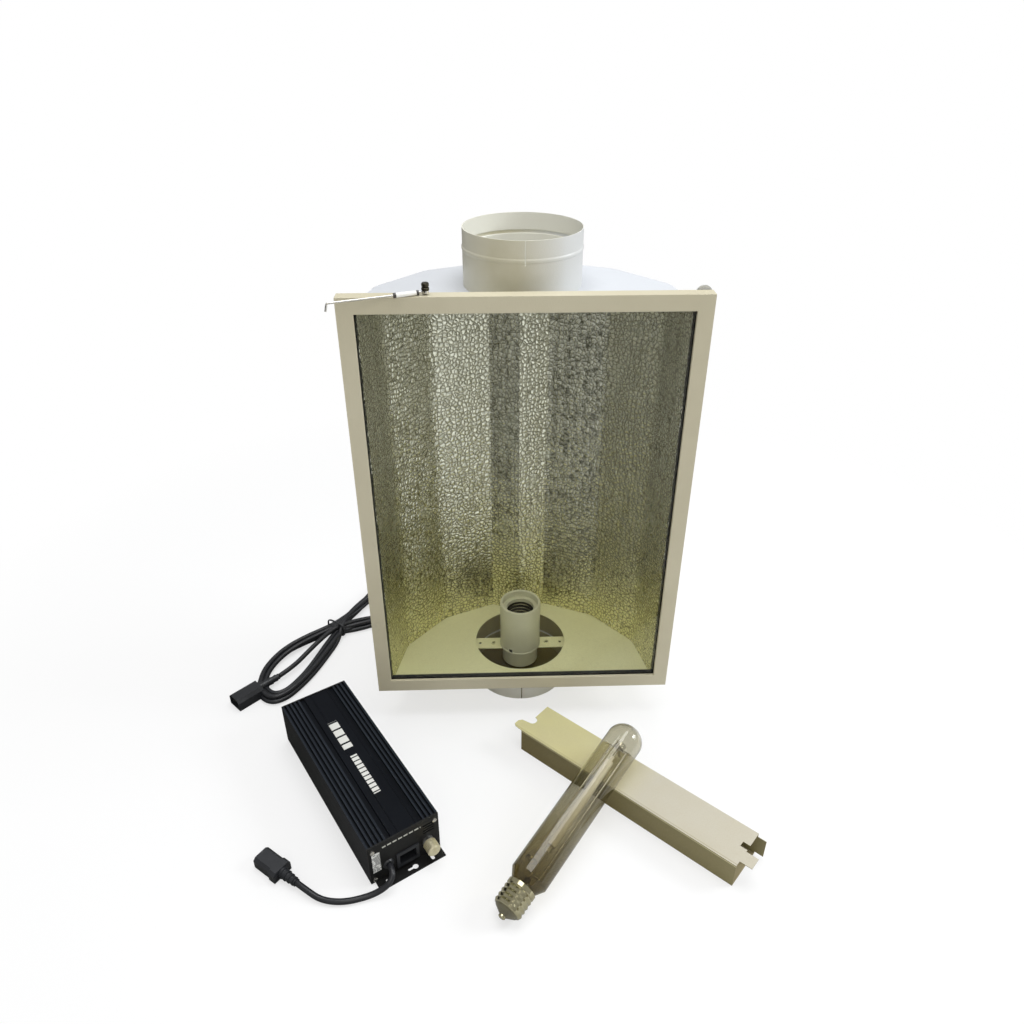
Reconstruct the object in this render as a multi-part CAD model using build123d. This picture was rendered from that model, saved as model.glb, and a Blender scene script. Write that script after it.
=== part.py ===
from build123d import *
import math
import os

# A grow lamp kit: an air-cooled reflector hood that stands on its lower duct collar, with its
# hinged glass door, lampholder and lead, its finned ballast, a tubular lamp, and the card sleeve
# that the lamp came in. Millimetres. The origin is the centre of the lower collar's rim, +Z runs
# up the duct's axis, the glass faces -Y, and everything stands on the floor at z = 0.

# ---------------------------------------------------------------- driving dimensions
SHEET = 1.0                  # steel of the housing, end panels and collars
COLLAR_R = 75.0              # outside of a collar: a six-inch duct slides over it
COLLAR_H = 61.0              # from the lower collar's rim to the end panel
UPPER_COLLAR_H = 70.5
BEAD_FROM_RIM = 24.0         # middle of the rolled bead that seals the duct
BEAD_RISE = 0.8
SEAM_LENGTH = 29.0
DUCT_OPENING_R = 72.0
HOUSING_H = 589.0            # between the outer faces of the end panels
BACK_HALF = 44.0             # half width of the flat back facet
BACK_Y = 96.0
UPPER_BEND = (126.0, 60.0)   # x, y of the housing's other bends
LOWER_BEND = (186.0, -10.0)
FRONT_HALF = 203.5           # half width of the housing at its open front
HOUSING_FRONT_Y = -90.0
BEND_R = 34.0
PANEL_FLANGE = 10.0
REFLECTOR_T = 0.8
SPINE_HALF = 43.0            # the vee strip down the middle of the reflector
SPINE_RISE = 17.0

DOOR_BOTTOM = 57.0
DOOR_OVER = 17.0             # how far the door stands above the upper end panel
DOOR_OUT = 4.0               # how far it stands out past the front flange on each side
DOOR_DEPTH = 18.0
RAIL_FACE = 20.0
RAIL_T = 1.2
RAIL_LIP = 4.0
GLASS_T = 4.0
GLASS_OVERLAP = 12.0         # how far the glass reaches behind each rail
FRAME_OUT = 12.5             # width of the flange beside the housing's open front
FRAME_BOTTOM = 60.0
FRAME_OVER = 14.0            # and how far it stands above the upper end panel
FRAME_T = 1.2
SEAL_T = 3.4

HINGE_Y = -88.0              # axis of the door's hinge
HINGE_Z = 54.3
HINGE_X = 150.0
HINGE_LENGTH = 50.0
KNUCKLE_R = 3.2
PIN_R = 1.5

HOLDER_R = 32.1
HOLDER_TOP = 139.0
HOLDER_MOUTH_R = 28.0
SOCKET_R = 21.4              # outside of the threaded shell in the lampholder
BASE_R = 28.5
BASE_BOTTOM = 24.0
STRAP_W = 25.0
STRAP_T = 1.5
STRAP_TOP = 54.0
THREAD_PITCH = 6.35

BALLAST_L = 287.0            # extrusion, without its end plates
BALLAST_W = 100.0
BALLAST_H = 68.0
BALLAST_AT = (-238.75, -248.5)
BALLAST_TURN = -58.0
END_PLATE_T = 2.0
BASE_PLATE_T = 2.0
BASE_PLATE_OUT = 15.0        # how far the mounting plate stands out past each end plate
CASE_WALL = 3.0
RIB_H = 3.5
RIB_W = 3.0
RIB_PITCH = 6.0
KNOB_R = 9.0
KNOB_L = 15.0
SHAFT_R = 3.0

LAMP_L = 310.0
LAMP_R = 25.5
LAMP_CAP_R = 19.75
LAMP_TIP = (-41.0, -458.0)
LAMP_AZIMUTH = 51.0
ENVELOPE_T = 1.2
ARC_R = 5.6

SLEEVE_L = 348.0
SLEEVE_W = 62.0
SLEEVE_H = 40.0
SLEEVE_T = 0.8
SLEEVE_CORNER = (-5.0, -180.0)
SLEEVE_AZIMUTH = -42.1

CORD_R = 4.0
TIE_AT = (-325.0, 92.0)
HANK_TOP = 24.0
PLUG_TIP = (-455.0, -80.0)
PLUG_AZIMUTH = 45.0

RUNNING = 0.06               # radial clearance of a pin in its knuckle
FIT = 0.1                    # slack between fixed pieces
REST_GAP = 0.3               # between bodies that rest on each other

PANEL_LOW = COLLAR_H                         # outer face of the lower end panel
PANEL_HIGH = COLLAR_H + HOUSING_H            # outer face of the upper end panel
FRAME_TOP = PANEL_HIGH + FRAME_OVER
FRAME_HALF_W = FRONT_HALF + FRAME_OUT
DOOR_TOP = PANEL_HIGH + DOOR_OVER
DOOR_H = DOOR_TOP - DOOR_BOTTOM
DOOR_W = 2 * (FRAME_HALF_W + DOOR_OUT)
FRAME_FRONT_Y = HOUSING_FRONT_Y - FRAME_T
DOOR_BACK_Y = FRAME_FRONT_Y - 0.8
DOOR_FRONT_Y = DOOR_BACK_Y - DOOR_DEPTH
GLASS_FRONT_Y = DOOR_FRONT_Y + RAIL_LIP
GLASS_BACK_Y = GLASS_FRONT_Y + GLASS_T

nodes = {}


# ---------------------------------------------------------------- shapes used all through
def block(x0, x1, y0, y1, z0, z1):
    middle = Pos((x0 + x1) / 2, (y0 + y1) / 2, (z0 + z1) / 2)
    return middle * Box(x1 - x0, y1 - y0, z1 - z0)


def rod(start, direction, radius, length):
    place = Plane(origin=start, z_dir=direction)
    return place.location * Cylinder(radius, length, align=(Align.CENTER, Align.CENTER, Align.MIN))


def turned(*profile):
    """A solid of revolution about Z from (radius, height) points."""
    outline = Polyline(*[(r, z) for r, z in profile], close=True)
    return revolve(Plane.XZ * make_face(outline), Axis.Z)


def prism(points, z0, z1):
    outline = Polyline(*points, close=True)
    return Pos(0, 0, z0) * extrude(make_face(outline), z1 - z0)


def hexagon(start, direction, across, length):
    place = Plane(origin=start, z_dir=direction)
    return place.location * extrude(RegularPolygon(across / 2, 6, major_radius=False), length)


def group(*shapes):
    solids = []
    for shape in shapes:
        solids.extend(shape.solids())
    return Compound(children=solids)


def put(name, shape, place=None):
    nodes[name] = place * shape if place is not None else shape


def cord(points, radius, name):
    """A tube along straight runs joined by arcs of 0.45 of the shorter run."""
    vectors = [Vector(*p) for p in points]
    runs = [b - a for a, b in zip(vectors, vectors[1:])]
    radii = []
    for before, after in zip(runs, runs[1:]):
        half_turn = math.radians(before.get_angle(after) / 2)
        radii.append(0.45 * min(before.length, after.length) / math.tan(half_turn))
    path = FilletPolyline(*points, radius=radii)
    section = Plane(origin=points[0], z_dir=runs[0]) * Circle(radius)
    tube = sweep(section, path=path)
    print(name, "length", round(path.length, 1), "radii", [round(r, 1) for r in radii],
          "volume ratio", round(tube.volume / (math.pi * radius**2 * path.length), 4))
    return tube


# ---------------------------------------------------------------- housing
def arch(inset):
    """The housing's section, moved in by inset, cut off at the open front."""
    reach = 80.0
    bends = [(BACK_HALF, BACK_Y), UPPER_BEND, LOWER_BEND]
    lean = (FRONT_HALF - LOWER_BEND[0]) / (LOWER_BEND[1] - HOUSING_FRONT_Y)
    foot = (FRONT_HALF + lean * reach, HOUSING_FRONT_Y - reach)
    right = bends + [foot]
    left = [(-x, y) for x, y in reversed(right)]
    face = make_face(Polyline(*(right + left), close=True))
    corners = [v for v in face.vertices() if v.Y > HOUSING_FRONT_Y]
    face = fillet(corners, BEND_R)
    if inset:
        face = offset(face, -inset, kind=Kind.INTERSECTION)
    half = 2 * FRONT_HALF
    keep = Pos(0, (HOUSING_FRONT_Y + half) / 2) * Rectangle(2 * half, half - HOUSING_FRONT_Y)
    return face & keep


def slab(face, z0, z1):
    return Pos(0, 0, z0) * extrude(face, z1 - z0)


def facet_middles():
    """Middle and outward direction of each facet of the right-hand half, then the left."""
    line = [(BACK_HALF, BACK_Y), UPPER_BEND, LOWER_BEND, (FRONT_HALF, HOUSING_FRONT_Y)]
    found = []
    for (x0, y0), (x1, y1) in zip(line, line[1:]):
        length = math.hypot(x1 - x0, y1 - y0)
        normal = ((y0 - y1) / length, (x1 - x0) / length)
        found.append((((x0 + x1) / 2, (y0 + y1) / 2), normal))
    return found + [((-x, y), (-nx, ny)) for (x, y), (nx, ny) in found]


RIVET_R = 1.6
RIVET_HEAD_R = 3.2
RIVET_HEAD_T = 1.2


def rivet(start, direction, grip):
    """A blind rivet: its domed head sits on start, its shank runs against direction."""
    place = Plane(origin=start, z_dir=direction)
    body = turned((0, -grip - 1), (RIVET_R + 0.7, -grip - 1), (RIVET_R + 0.7, -grip), (RIVET_R, -grip),
                  (RIVET_R, 0), (RIVET_HEAD_R, 0), (RIVET_HEAD_R * 0.7, RIVET_HEAD_T * 0.8),
                  (0, RIVET_HEAD_T))
    return place.location * body


def rivet_holes(starts):
    return [rod((p[0] - n[0] * 3, p[1] - n[1] * 3, p[2]), (n[0], n[1], 0), RIVET_R + 0.03, 6)
            for p, n in starts]


panel_rivets = []
for z in (PANEL_LOW + SHEET + PANEL_FLANGE / 2, PANEL_HIGH - SHEET - PANEL_FLANGE / 2):
    for (x, y), normal in facet_middles():
        panel_rivets.append(((x, y, z), normal))

LUG_X = 30.0
LUG_LOW = PANEL_LOW + 90.0
LUG_HIGH = PANEL_HIGH - 90.0
LUG_T = 2.0
LUG_EYE_R = 4.0
LUG_EYE_OUT = 14.0
LUG_FOOT = 24.0
lug_places = [(x, z) for x in (-LUG_X, LUG_X) for z in (LUG_LOW, LUG_HIGH)]
lug_rivets = [((x - math.copysign(LUG_FOOT / 2 + 1, x), BACK_Y, z), (0, 1))
              for x, z in lug_places]

shell = slab(arch(0) - arch(SHEET), PANEL_LOW, PANEL_HIGH)
flange = arch(SHEET) - arch(2 * SHEET)
low_panel = slab(arch(SHEET), PANEL_LOW, PANEL_LOW + SHEET)
low_panel += slab(flange, PANEL_LOW, PANEL_LOW + SHEET + PANEL_FLANGE)
low_panel -= rod((0, 0, 0), (0, 0, 1), DUCT_OPENING_R, 200)
high_panel = slab(arch(SHEET), PANEL_HIGH - SHEET, PANEL_HIGH)
high_panel += slab(flange, PANEL_HIGH - SHEET - PANEL_FLANGE, PANEL_HIGH)
high_panel -= rod((0, 0, PANEL_HIGH - 100), (0, 0, 1), DUCT_OPENING_R, 200)
for hole in rivet_holes(panel_rivets):
    shell -= hole
    low_panel -= hole
    high_panel -= hole
for hole in rivet_holes(lug_rivets):
    shell -= hole
put("housing_shell", shell)
put("lower_end_panel", low_panel)
put("upper_end_panel", high_panel)
rivets = [rivet(p, (n[0], n[1], 0), 2 * SHEET) for p, n in panel_rivets]


def hanging_lug(x, z):
    """An angle riveted to the back, with an eye for a hanger hook."""
    inward = -math.copysign(1, x)
    x0, x1 = sorted((x, x + inward * LUG_FOOT))
    foot = block(x0, x1, BACK_Y, BACK_Y + LUG_T, z - 11, z + 11)
    x2, x3 = sorted((x, x + inward * LUG_T))
    ear = block(x2, x3, BACK_Y, BACK_Y + LUG_EYE_OUT, z - 11, z + 11)
    ear += rod((x2, BACK_Y + LUG_EYE_OUT, z), (1, 0, 0), 11, LUG_T)
    eye = rod((x2 - 1, BACK_Y + LUG_EYE_OUT, z), (1, 0, 0), LUG_EYE_R, LUG_T + 2)
    foot_hole = rod((x - math.copysign(LUG_FOOT / 2 + 1, x), BACK_Y - 3, z), (0, 1, 0),
                    RIVET_R + 0.03, 10)
    return foot + ear - eye - foot_hole


put("hanging_lugs", group(*[hanging_lug(x, z) for x, z in lug_places]))
rivets += [rivet((p[0], BACK_Y + LUG_T, p[2]), (0, 1, 0), LUG_T + SHEET) for p, n in lug_rivets]


# ---------------------------------------------------------------- duct collars
def collar(height):
    """A rolled collar: rim at z = 0, spigot flange at this height under the end panel."""
    outer, inner = COLLAR_R, COLLAR_R - SHEET
    low, high = BEAD_FROM_RIM - 3, BEAD_FROM_RIM + 3
    ring = turned((outer, 0), (outer, low), (outer + BEAD_RISE, low + 1.8),
                  (outer + BEAD_RISE, high - 1.8), (outer, high), (outer, height),
                  (DUCT_OPENING_R, height), (DUCT_OPENING_R, height - SHEET),
                  (inner, height - SHEET), (inner, high), (inner + BEAD_RISE, high - 1.8),
                  (inner + BEAD_RISE, low + 1.8), (inner, low), (inner, 0))
    return ring - block(-0.7, 0.7, -outer - 3, -inner + 3, -1, SEAM_LENGTH)


STRAP_END = math.sqrt((COLLAR_R - SHEET) ** 2 - (STRAP_W / 2) ** 2) - FIT
TAB_DROP = 14.0
TAB_RIVET_Z = STRAP_TOP - 9.0
GLAND_Z = 38.0
GLAND_HOLE_R = 6.5

lower_collar = collar(COLLAR_H)
lower_collar -= rod((-100, 0, TAB_RIVET_Z), (1, 0, 0), RIVET_R + 0.03, 200)
lower_collar -= rod((0, 60, GLAND_Z), (0, 1, 0), GLAND_HOLE_R + FIT, 30)
put("lower_collar", lower_collar)
put("upper_collar", Pos(0, 0, PANEL_HIGH + UPPER_COLLAR_H) * Rot(180, 0, 180)
    * collar(UPPER_COLLAR_H))

# ---------------------------------------------------------------- reflector
LINER = 2 * SHEET + 1.2      # the reflector clears the rivets' tails inside the flanges
lining = arch(LINER) - arch(LINER + REFLECTOR_T)
lining = slab(lining, PANEL_LOW + SHEET + 0.4, PANEL_HIGH - SHEET - 0.4)
LINING_SPLIT = SPINE_HALF - 12.0
half_space = block(LINING_SPLIT, 400, -200, 200, 0, 800)
put("reflector_right", lining & half_space)
put("reflector_left", lining & mirror(half_space, about=Plane.YZ))
spine_y = BACK_Y - LINER - REFLECTOR_T - 0.8
spine = prism([(-SPINE_HALF, spine_y), (0, spine_y - SPINE_RISE), (SPINE_HALF, spine_y),
               (SPINE_HALF - 2.2, spine_y), (0, spine_y - SPINE_RISE + 0.9),
               (2.2 - SPINE_HALF, spine_y)],
              PANEL_LOW + SHEET + 0.4, PANEL_HIGH - SHEET - 0.4)
put("reflector_spine", spine)

# ---------------------------------------------------------------- front frame and door seal
front_hole = block(-FRONT_HALF + SHEET, FRONT_HALF - SHEET, -200, 0,
                   PANEL_LOW + SHEET, PANEL_HIGH - SHEET)
front_frame = block(-FRAME_HALF_W, FRAME_HALF_W, FRAME_FRONT_Y, HOUSING_FRONT_Y,
                    FRAME_BOTTOM, FRAME_TOP) - front_hole
put("front_frame", front_frame)
SEAL_W = 8.0
seal_out_x = FRAME_HALF_W - 3
seal_low, seal_high = PANEL_LOW + 3, FRAME_TOP - 3
door_seal = block(-seal_out_x, seal_out_x, FRAME_FRONT_Y - SEAL_T, FRAME_FRONT_Y,
                  seal_low, seal_high)
door_seal -= block(-seal_out_x + SEAL_W, seal_out_x - SEAL_W, -200, 0,
                   seal_low + SEAL_W, seal_high - SEAL_W)
put("door_seal", door_seal)

CORNER_LUG_X = FRAME_HALF_W - 6.0
corner_lug = block(CORNER_LUG_X - 10, CORNER_LUG_X + 10, HOUSING_FRONT_Y, HOUSING_FRONT_Y + 2,
                   PANEL_HIGH, DOOR_TOP - 5)
corner_lug += rod((CORNER_LUG_X, HOUSING_FRONT_Y, DOOR_TOP - 5), (0, 1, 0), 10, 2)
put("corner_lug", corner_lug)


# ---------------------------------------------------------------- glass door
def rail(length):
    """A channel along +X: face at y = 0, outer leg at z = 0, ends mitred inwards."""
    section = [(0, 0), (DOOR_DEPTH, 0), (DOOR_DEPTH, RAIL_T), (RAIL_T, RAIL_T),
               (RAIL_T, RAIL_FACE - RAIL_T), (RAIL_LIP, RAIL_FACE - RAIL_T),
               (RAIL_LIP, RAIL_FACE), (0, RAIL_FACE)]
    face = make_face(Polyline(*section, close=True))
    inner = face.vertices().filter_by(lambda v: v.Y > RAIL_FACE - 0.01 and v.X < 0.01)
    face = fillet(inner, 1.0)
    bar = Plane.YZ * face
    bar = Pos(-length / 2, 0, 0) * extrude(bar, length)
    half = length / 2
    keep = prism([(-half, 0), (half, 0), (half - 60, 60), (60 - half, 60)], -60, 60)
    return bar & (Rot(90, 0, 0) * keep)


def door_rail(name, turn, length, off):
    middle_z = DOOR_BOTTOM + DOOR_H / 2
    place = Pos(0, DOOR_FRONT_Y, middle_z) * Rot(0, turn, 0) * Pos(0, 0, -off)
    put(name, rail(length), place)


MITRE_GAP = 0.02
door_rail("door_rail_bottom", 0, DOOR_W - MITRE_GAP, DOOR_H / 2)
door_rail("door_rail_top", 180, DOOR_W - MITRE_GAP, DOOR_H / 2)
door_rail("door_rail_left", 90, DOOR_H - MITRE_GAP, DOOR_W / 2)
door_rail("door_rail_right", -90, DOOR_H - MITRE_GAP, DOOR_W / 2)

sight_half = DOOR_W / 2 - RAIL_FACE
sight_low, sight_high = DOOR_BOTTOM + RAIL_FACE, DOOR_TOP - RAIL_FACE
glass_half = sight_half + GLASS_OVERLAP
glass_low, glass_high = sight_low - GLASS_OVERLAP, sight_high + GLASS_OVERLAP
put("door_glass", block(-glass_half, glass_half, GLASS_FRONT_Y, GLASS_BACK_Y,
                        glass_low, glass_high))
SEAL_LIP = 2.6
glazing_back = FRAME_FRONT_Y - SEAL_T - REST_GAP
glazing = block(-glass_half - SEAL_LIP, glass_half + SEAL_LIP, GLASS_FRONT_Y, glazing_back,
                glass_low - SEAL_LIP, glass_high + SEAL_LIP)
glazing -= block(-glass_half, glass_half, GLASS_FRONT_Y - 1, GLASS_BACK_Y,
                 glass_low, glass_high)
glazing -= block(-sight_half + 0.6, sight_half - 0.6, -200, 0, sight_low - 0.6, sight_high + 0.6)
put("glazing_seal", glazing)

# ---------------------------------------------------------------- hinge on the lower short edge
LEAF_T = 1.5
door_leaves, housing_leaves, pins = [], [], []
third = HINGE_LENGTH / 3
for x in (-HINGE_X, HINGE_X):
    axis_low = x - HINGE_LENGTH / 2
    bore = rod((axis_low - 5, HINGE_Y, HINGE_Z), (1, 0, 0), PIN_R + RUNNING, HINGE_LENGTH + 10)
    middle = rod((axis_low + third + 0.3, HINGE_Y, HINGE_Z), (1, 0, 0), KNUCKLE_R, third - 0.6)
    leaf = block(axis_low + third + 0.3, axis_low + 2 * third - 0.3, DOOR_BACK_Y + 0.1, HINGE_Y,
                 HINGE_Z + KNUCKLE_R - LEAF_T, HINGE_Z + KNUCKLE_R)
    leaf += block(axis_low, axis_low + HINGE_LENGTH, DOOR_FRONT_Y + 2, HINGE_Y - KNUCKLE_R - 1,
                  DOOR_BOTTOM - LEAF_T, DOOR_BOTTOM)
    leaf += block(axis_low + third + 0.3, axis_low + 2 * third - 0.3, HINGE_Y - 8, HINGE_Y - 3.5,
                  HINGE_Z + KNUCKLE_R - LEAF_T, DOOR_BOTTOM)
    door_leaves.append(leaf + middle - bore)
    fixed = []
    for x0 in (axis_low, axis_low + 2 * third):
        knuckle = rod((x0, HINGE_Y, HINGE_Z), (1, 0, 0), KNUCKLE_R, third)
        upright = block(x0, x0 + third, HINGE_Y + KNUCKLE_R - LEAF_T, HINGE_Y + KNUCKLE_R,
                        HINGE_Z, PANEL_LOW)
        fixed.append(knuckle + upright)
    foot = block(axis_low, axis_low + HINGE_LENGTH, HINGE_Y + KNUCKLE_R - LEAF_T, HINGE_Y + 24,
                 PANEL_LOW - LEAF_T, PANEL_LOW)
    housing_leaves.append(fixed[0] + fixed[1] + foot - bore)
    pins.append(rod((axis_low - 1, HINGE_Y, HINGE_Z), (1, 0, 0), PIN_R, HINGE_LENGTH + 2))
put("door_hinge_leaves", group(*door_leaves))
put("housing_hinge_leaves", group(*housing_leaves))
put("hinge_pins", group(*pins))

# ---------------------------------------------------------------- latch on the top rail
LATCH_AT = (-116.0, DOOR_FRONT_Y + 10.0)
LATCH_Z = DOOR_TOP
WIRE_R = 1.2
WIRE_REACH = 114.0
WIRE_AZIMUTH = 200.0
WIRE_Z = LATCH_Z + 3.2
EYE_R = 3.9
screw_hole = rod((LATCH_AT[0], LATCH_AT[1], LATCH_Z - 10), (0, 0, 1), 2.0 + RUNNING, 20)
nodes["door_rail_top"] = nodes["door_rail_top"] - screw_hole
latch_place = Pos(LATCH_AT[0], LATCH_AT[1], 0)
put("latch_screw", turned((0, LATCH_Z - 4), (2.0, LATCH_Z - 4), (2.0, LATCH_Z + 5.4),
                          (4.6, LATCH_Z + 5.4), (4.6, LATCH_Z + 8), (3.4, LATCH_Z + 9),
                          (4.4, LATCH_Z + 10), (4.4, LATCH_Z + 13), (3.6, LATCH_Z + 14),
                          (0, LATCH_Z + 14)), latch_place)
wire_path = FilletPolyline((0, 0, WIRE_Z), (WIRE_REACH, 0, WIRE_Z), (WIRE_REACH + 2, 0, WIRE_Z - 9),
                           radius=2.6)
wire = sweep(Plane(origin=(0, 0, WIRE_Z), z_dir=(1, 0, 0)) * Circle(WIRE_R), path=wire_path)
eye = turned((2.0 + RUNNING, WIRE_Z - 1.6), (EYE_R, WIRE_Z - 1.6), (EYE_R, WIRE_Z + 1.6),
             (2.0 + RUNNING, WIRE_Z + 1.6))
wire = wire + eye - rod((0, 0, WIRE_Z - 5), (0, 0, 1), 2.0 + RUNNING, 10)
wire_turn = latch_place * Rot(0, 0, WIRE_AZIMUTH)
put("latch_wire", wire, wire_turn)
SLEEVE_START = 8.0
FERRULE = 3.0
TUBE_L = 24.0


def on_wire(start, length, radius):
    outer = rod((start, 0, WIRE_Z), (1, 0, 0), radius, length)
    return outer - rod((start - 1, 0, WIRE_Z), (1, 0, 0), WIRE_R + 0.02, length + 2)


put("latch_grip", on_wire(SLEEVE_START, FERRULE, 2.9)
    + on_wire(SLEEVE_START + FERRULE, TUBE_L, 2.7)
    + on_wire(SLEEVE_START + FERRULE + TUBE_L, FERRULE, 2.9), wire_turn)

# ---------------------------------------------------------------- lampholder and its strap
SCREW_X = 18.0
SCREW_R = 2.0
strap = block(-STRAP_END, STRAP_END, -STRAP_W / 2, STRAP_W / 2, STRAP_TOP - STRAP_T, STRAP_TOP)
for side in (-1, 1):
    x0, x1 = sorted((side * STRAP_END, side * (STRAP_END - STRAP_T)))
    strap += block(x0, x1, -STRAP_W / 2, STRAP_W / 2, STRAP_TOP - TAB_DROP, STRAP_TOP)
    strap += Pos(side * 43.5, 0, STRAP_TOP) * Cylinder(
        4.6, 1.4, align=(Align.CENTER, Align.CENTER, Align.MIN))
    strap -= rod((side * 43.5, 0, 0), (0, 0, 1), 3.2, 100)
    strap -= rod((side * 65.5, 0, 0), (0, 0, 1), 2.4, 100)
    strap -= rod((side * SCREW_X, 0, 0), (0, 0, 1), SCREW_R + FIT, 100)
strap -= rod((-100, 0, TAB_RIVET_Z), (1, 0, 0), RIVET_R + 0.03, 200)
put("lampholder_strap", strap)
strap_grip = COLLAR_R - STRAP_END + STRAP_T
rivets.append(rivet((COLLAR_R, 0, TAB_RIVET_Z), (1, 0, 0), strap_grip))
rivets.append(rivet((-COLLAR_R, 0, TAB_RIVET_Z), (-1, 0, 0), strap_grip))
put("blind_rivets", group(*rivets))

MOUTH_FLOOR = HOLDER_TOP - 11.0
SOCKET_FLOOR = MOUTH_FLOOR - 40.0
holder = turned((0, STRAP_TOP), (HOLDER_R, STRAP_TOP), (HOLDER_R + 0.7, STRAP_TOP + 1),
                (HOLDER_R + 0.7, STRAP_TOP + 3.4), (HOLDER_R, STRAP_TOP + 4.4),
                (HOLDER_R, HOLDER_TOP - 1.5), (HOLDER_R - 1, HOLDER_TOP),
                (HOLDER_MOUTH_R + 0.8, HOLDER_TOP), (HOLDER_MOUTH_R, HOLDER_TOP - 1),
                (HOLDER_MOUTH_R, MOUTH_FLOOR), (SOCKET_R + FIT, MOUTH_FLOOR),
                (SOCKET_R + FIT, SOCKET_FLOOR), (9, SOCKET_FLOOR), (9, SOCKET_FLOOR - 7),
                (0, SOCKET_FLOOR - 7))
holder -= block(-18.5, -13.5, -HOLDER_R - 5, -HOLDER_R + 9, STRAP_TOP + 3, STRAP_TOP + 9)
for side in (-1, 1):
    holder -= rod((side * SCREW_X, 0, STRAP_TOP - 1), (0, 0, 1), SCREW_R + 0.03, 15)
put("lampholder_body", holder)

rings = int((MOUTH_FLOOR - SOCKET_FLOOR - 4) // THREAD_PITCH)
outer_side = [(SOCKET_R, SOCKET_FLOOR)]
inner_side = [(SOCKET_R - 0.7, SOCKET_FLOOR)]
for ring in range(rings):
    z = SOCKET_FLOOR + 2 + ring * THREAD_PITCH
    outer_side += [(SOCKET_R, z), (SOCKET_R - 1.3, z + THREAD_PITCH / 2)]
    inner_side += [(SOCKET_R - 0.7, z), (SOCKET_R - 2.0, z + THREAD_PITCH / 2)]
top_z = SOCKET_FLOOR + 2 + rings * THREAD_PITCH
outer_side.append((SOCKET_R, top_z))
inner_side.append((SOCKET_R - 0.7, top_z))
socket_shell = turned(*(outer_side + inner_side[::-1]))
put("socket_contacts", group(socket_shell, turned((0, SOCKET_FLOOR - 7), (8, SOCKET_FLOOR - 7), (8, SOCKET_FLOOR - 5),
                             (3, SOCKET_FLOOR - 4), (3, SOCKET_FLOOR + 2), (2, SOCKET_FLOOR + 3),
                             (0, SOCKET_FLOOR + 3))))

base = turned((0, BASE_BOTTOM), (BASE_R - 2, BASE_BOTTOM), (BASE_R, BASE_BOTTOM + 2),
              (BASE_R, STRAP_TOP), (0, STRAP_TOP))
base -= block(-40, 40, -STRAP_W / 2 - FIT, STRAP_W / 2 + FIT, STRAP_TOP - STRAP_T, STRAP_TOP + 1)
base -= rod((0, 12, GLAND_Z), (0, 1, 0), CORD_R + FIT, 40)
for side in (-1, 1):
    base -= rod((side * SCREW_X, 0, 0), (0, 0, 1), SCREW_R + FIT, 100)
put("lampholder_base", base)
screws = []
for side in (-1, 1):
    shank = rod((side * SCREW_X, 0, BASE_BOTTOM - 2.4), (0, 0, 1), SCREW_R,
                STRAP_TOP - BASE_BOTTOM + 14)
    head = Pos(side * SCREW_X, 0, BASE_BOTTOM - 2.4) * Cylinder(
        3.8, 2.4, align=(Align.CENTER, Align.CENTER, Align.MIN))
    screws.append(shank + head)
put("lampholder_screws", group(*screws))

# ---------------------------------------------------------------- gland and the hood's lead
GLAND_IN = COLLAR_R - SHEET - 0.6
GLAND_OUT = COLLAR_R + 0.05
GLAND_L = 12.0
LEAD_EXIT_Y = 118.0
lead_bore = rod((0, 0, GLAND_Z), (0, 1, 0), CORD_R + FIT, 200)
gland = hexagon((0, GLAND_OUT, GLAND_Z), (0, 1, 0), 17, GLAND_L)
gland += rod((0, GLAND_IN - 7, GLAND_Z), (0, 1, 0), GLAND_HOLE_R, 8 + GLAND_OUT - GLAND_IN)
nut = hexagon((0, GLAND_IN - 5, GLAND_Z), (0, 1, 0), 17, 5)
nut -= rod((0, 0, GLAND_Z), (0, 1, 0), GLAND_HOLE_R + 0.03, 200)
relief = turned((0, 0), (7.4, 0), (7.4, 3), (6.4, 5), (5.6, LEAD_EXIT_Y - GLAND_OUT - GLAND_L),
                (0, LEAD_EXIT_Y - GLAND_OUT - GLAND_L))
relief_place = Plane(origin=(0, GLAND_OUT + GLAND_L, GLAND_Z), z_dir=(0, 1, 0)).location
put("cable_gland", group(gland + relief_place * relief - lead_bore, nut))

HOOD_LEAD = [(0, LEAD_EXIT_Y, GLAND_Z), (0, 156, GLAND_Z), (-12, 206, 14), (-55, 258, 4.4),
             (-122, 280, 4.4), (-180, 266, 6), (-214, 236, 11)]
inner_lead = rod((0, 12, GLAND_Z), (0, 1, 0), CORD_R, LEAD_EXIT_Y - 12)
put("hood_lead", cord(HOOD_LEAD, CORD_R, "hood_lead") + inner_lead)


def lobe(*circles):
    outline = make_hull([Pos(x, y) * e for x, y, r in circles for e in Circle(r).edges()])
    return outline


tie_circle = (TIE_AT[0], TIE_AT[1], 14.0)
hank_face = lobe(tie_circle, (-392, 22, 38), (-380, -38, 50))
hank_face += lobe(tie_circle, (-240, 205, 44), (-216, 152, 44))
hank = Pos(0, 0, 1.2) * extrude(hank_face, HANK_TOP - 1.2)
plug_place = Pos(PLUG_TIP[0], PLUG_TIP[1], 0) * Rot(0, 0, PLUG_AZIMUTH)
PLUG_L = 45.0
BOOT_L = 38.0
PLUG_W = 28.0
PLUG_H = 20.0
PLUG_Z0 = REST_GAP
PLUG_MID = PLUG_Z0 + PLUG_H / 2
channel = block(PLUG_L - 12, PLUG_L + BOOT_L, -PLUG_W / 2 - 1, PLUG_W / 2 + 1, -1, PLUG_H + 1)
put("lead_hank", hank - plug_place * channel)

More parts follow.
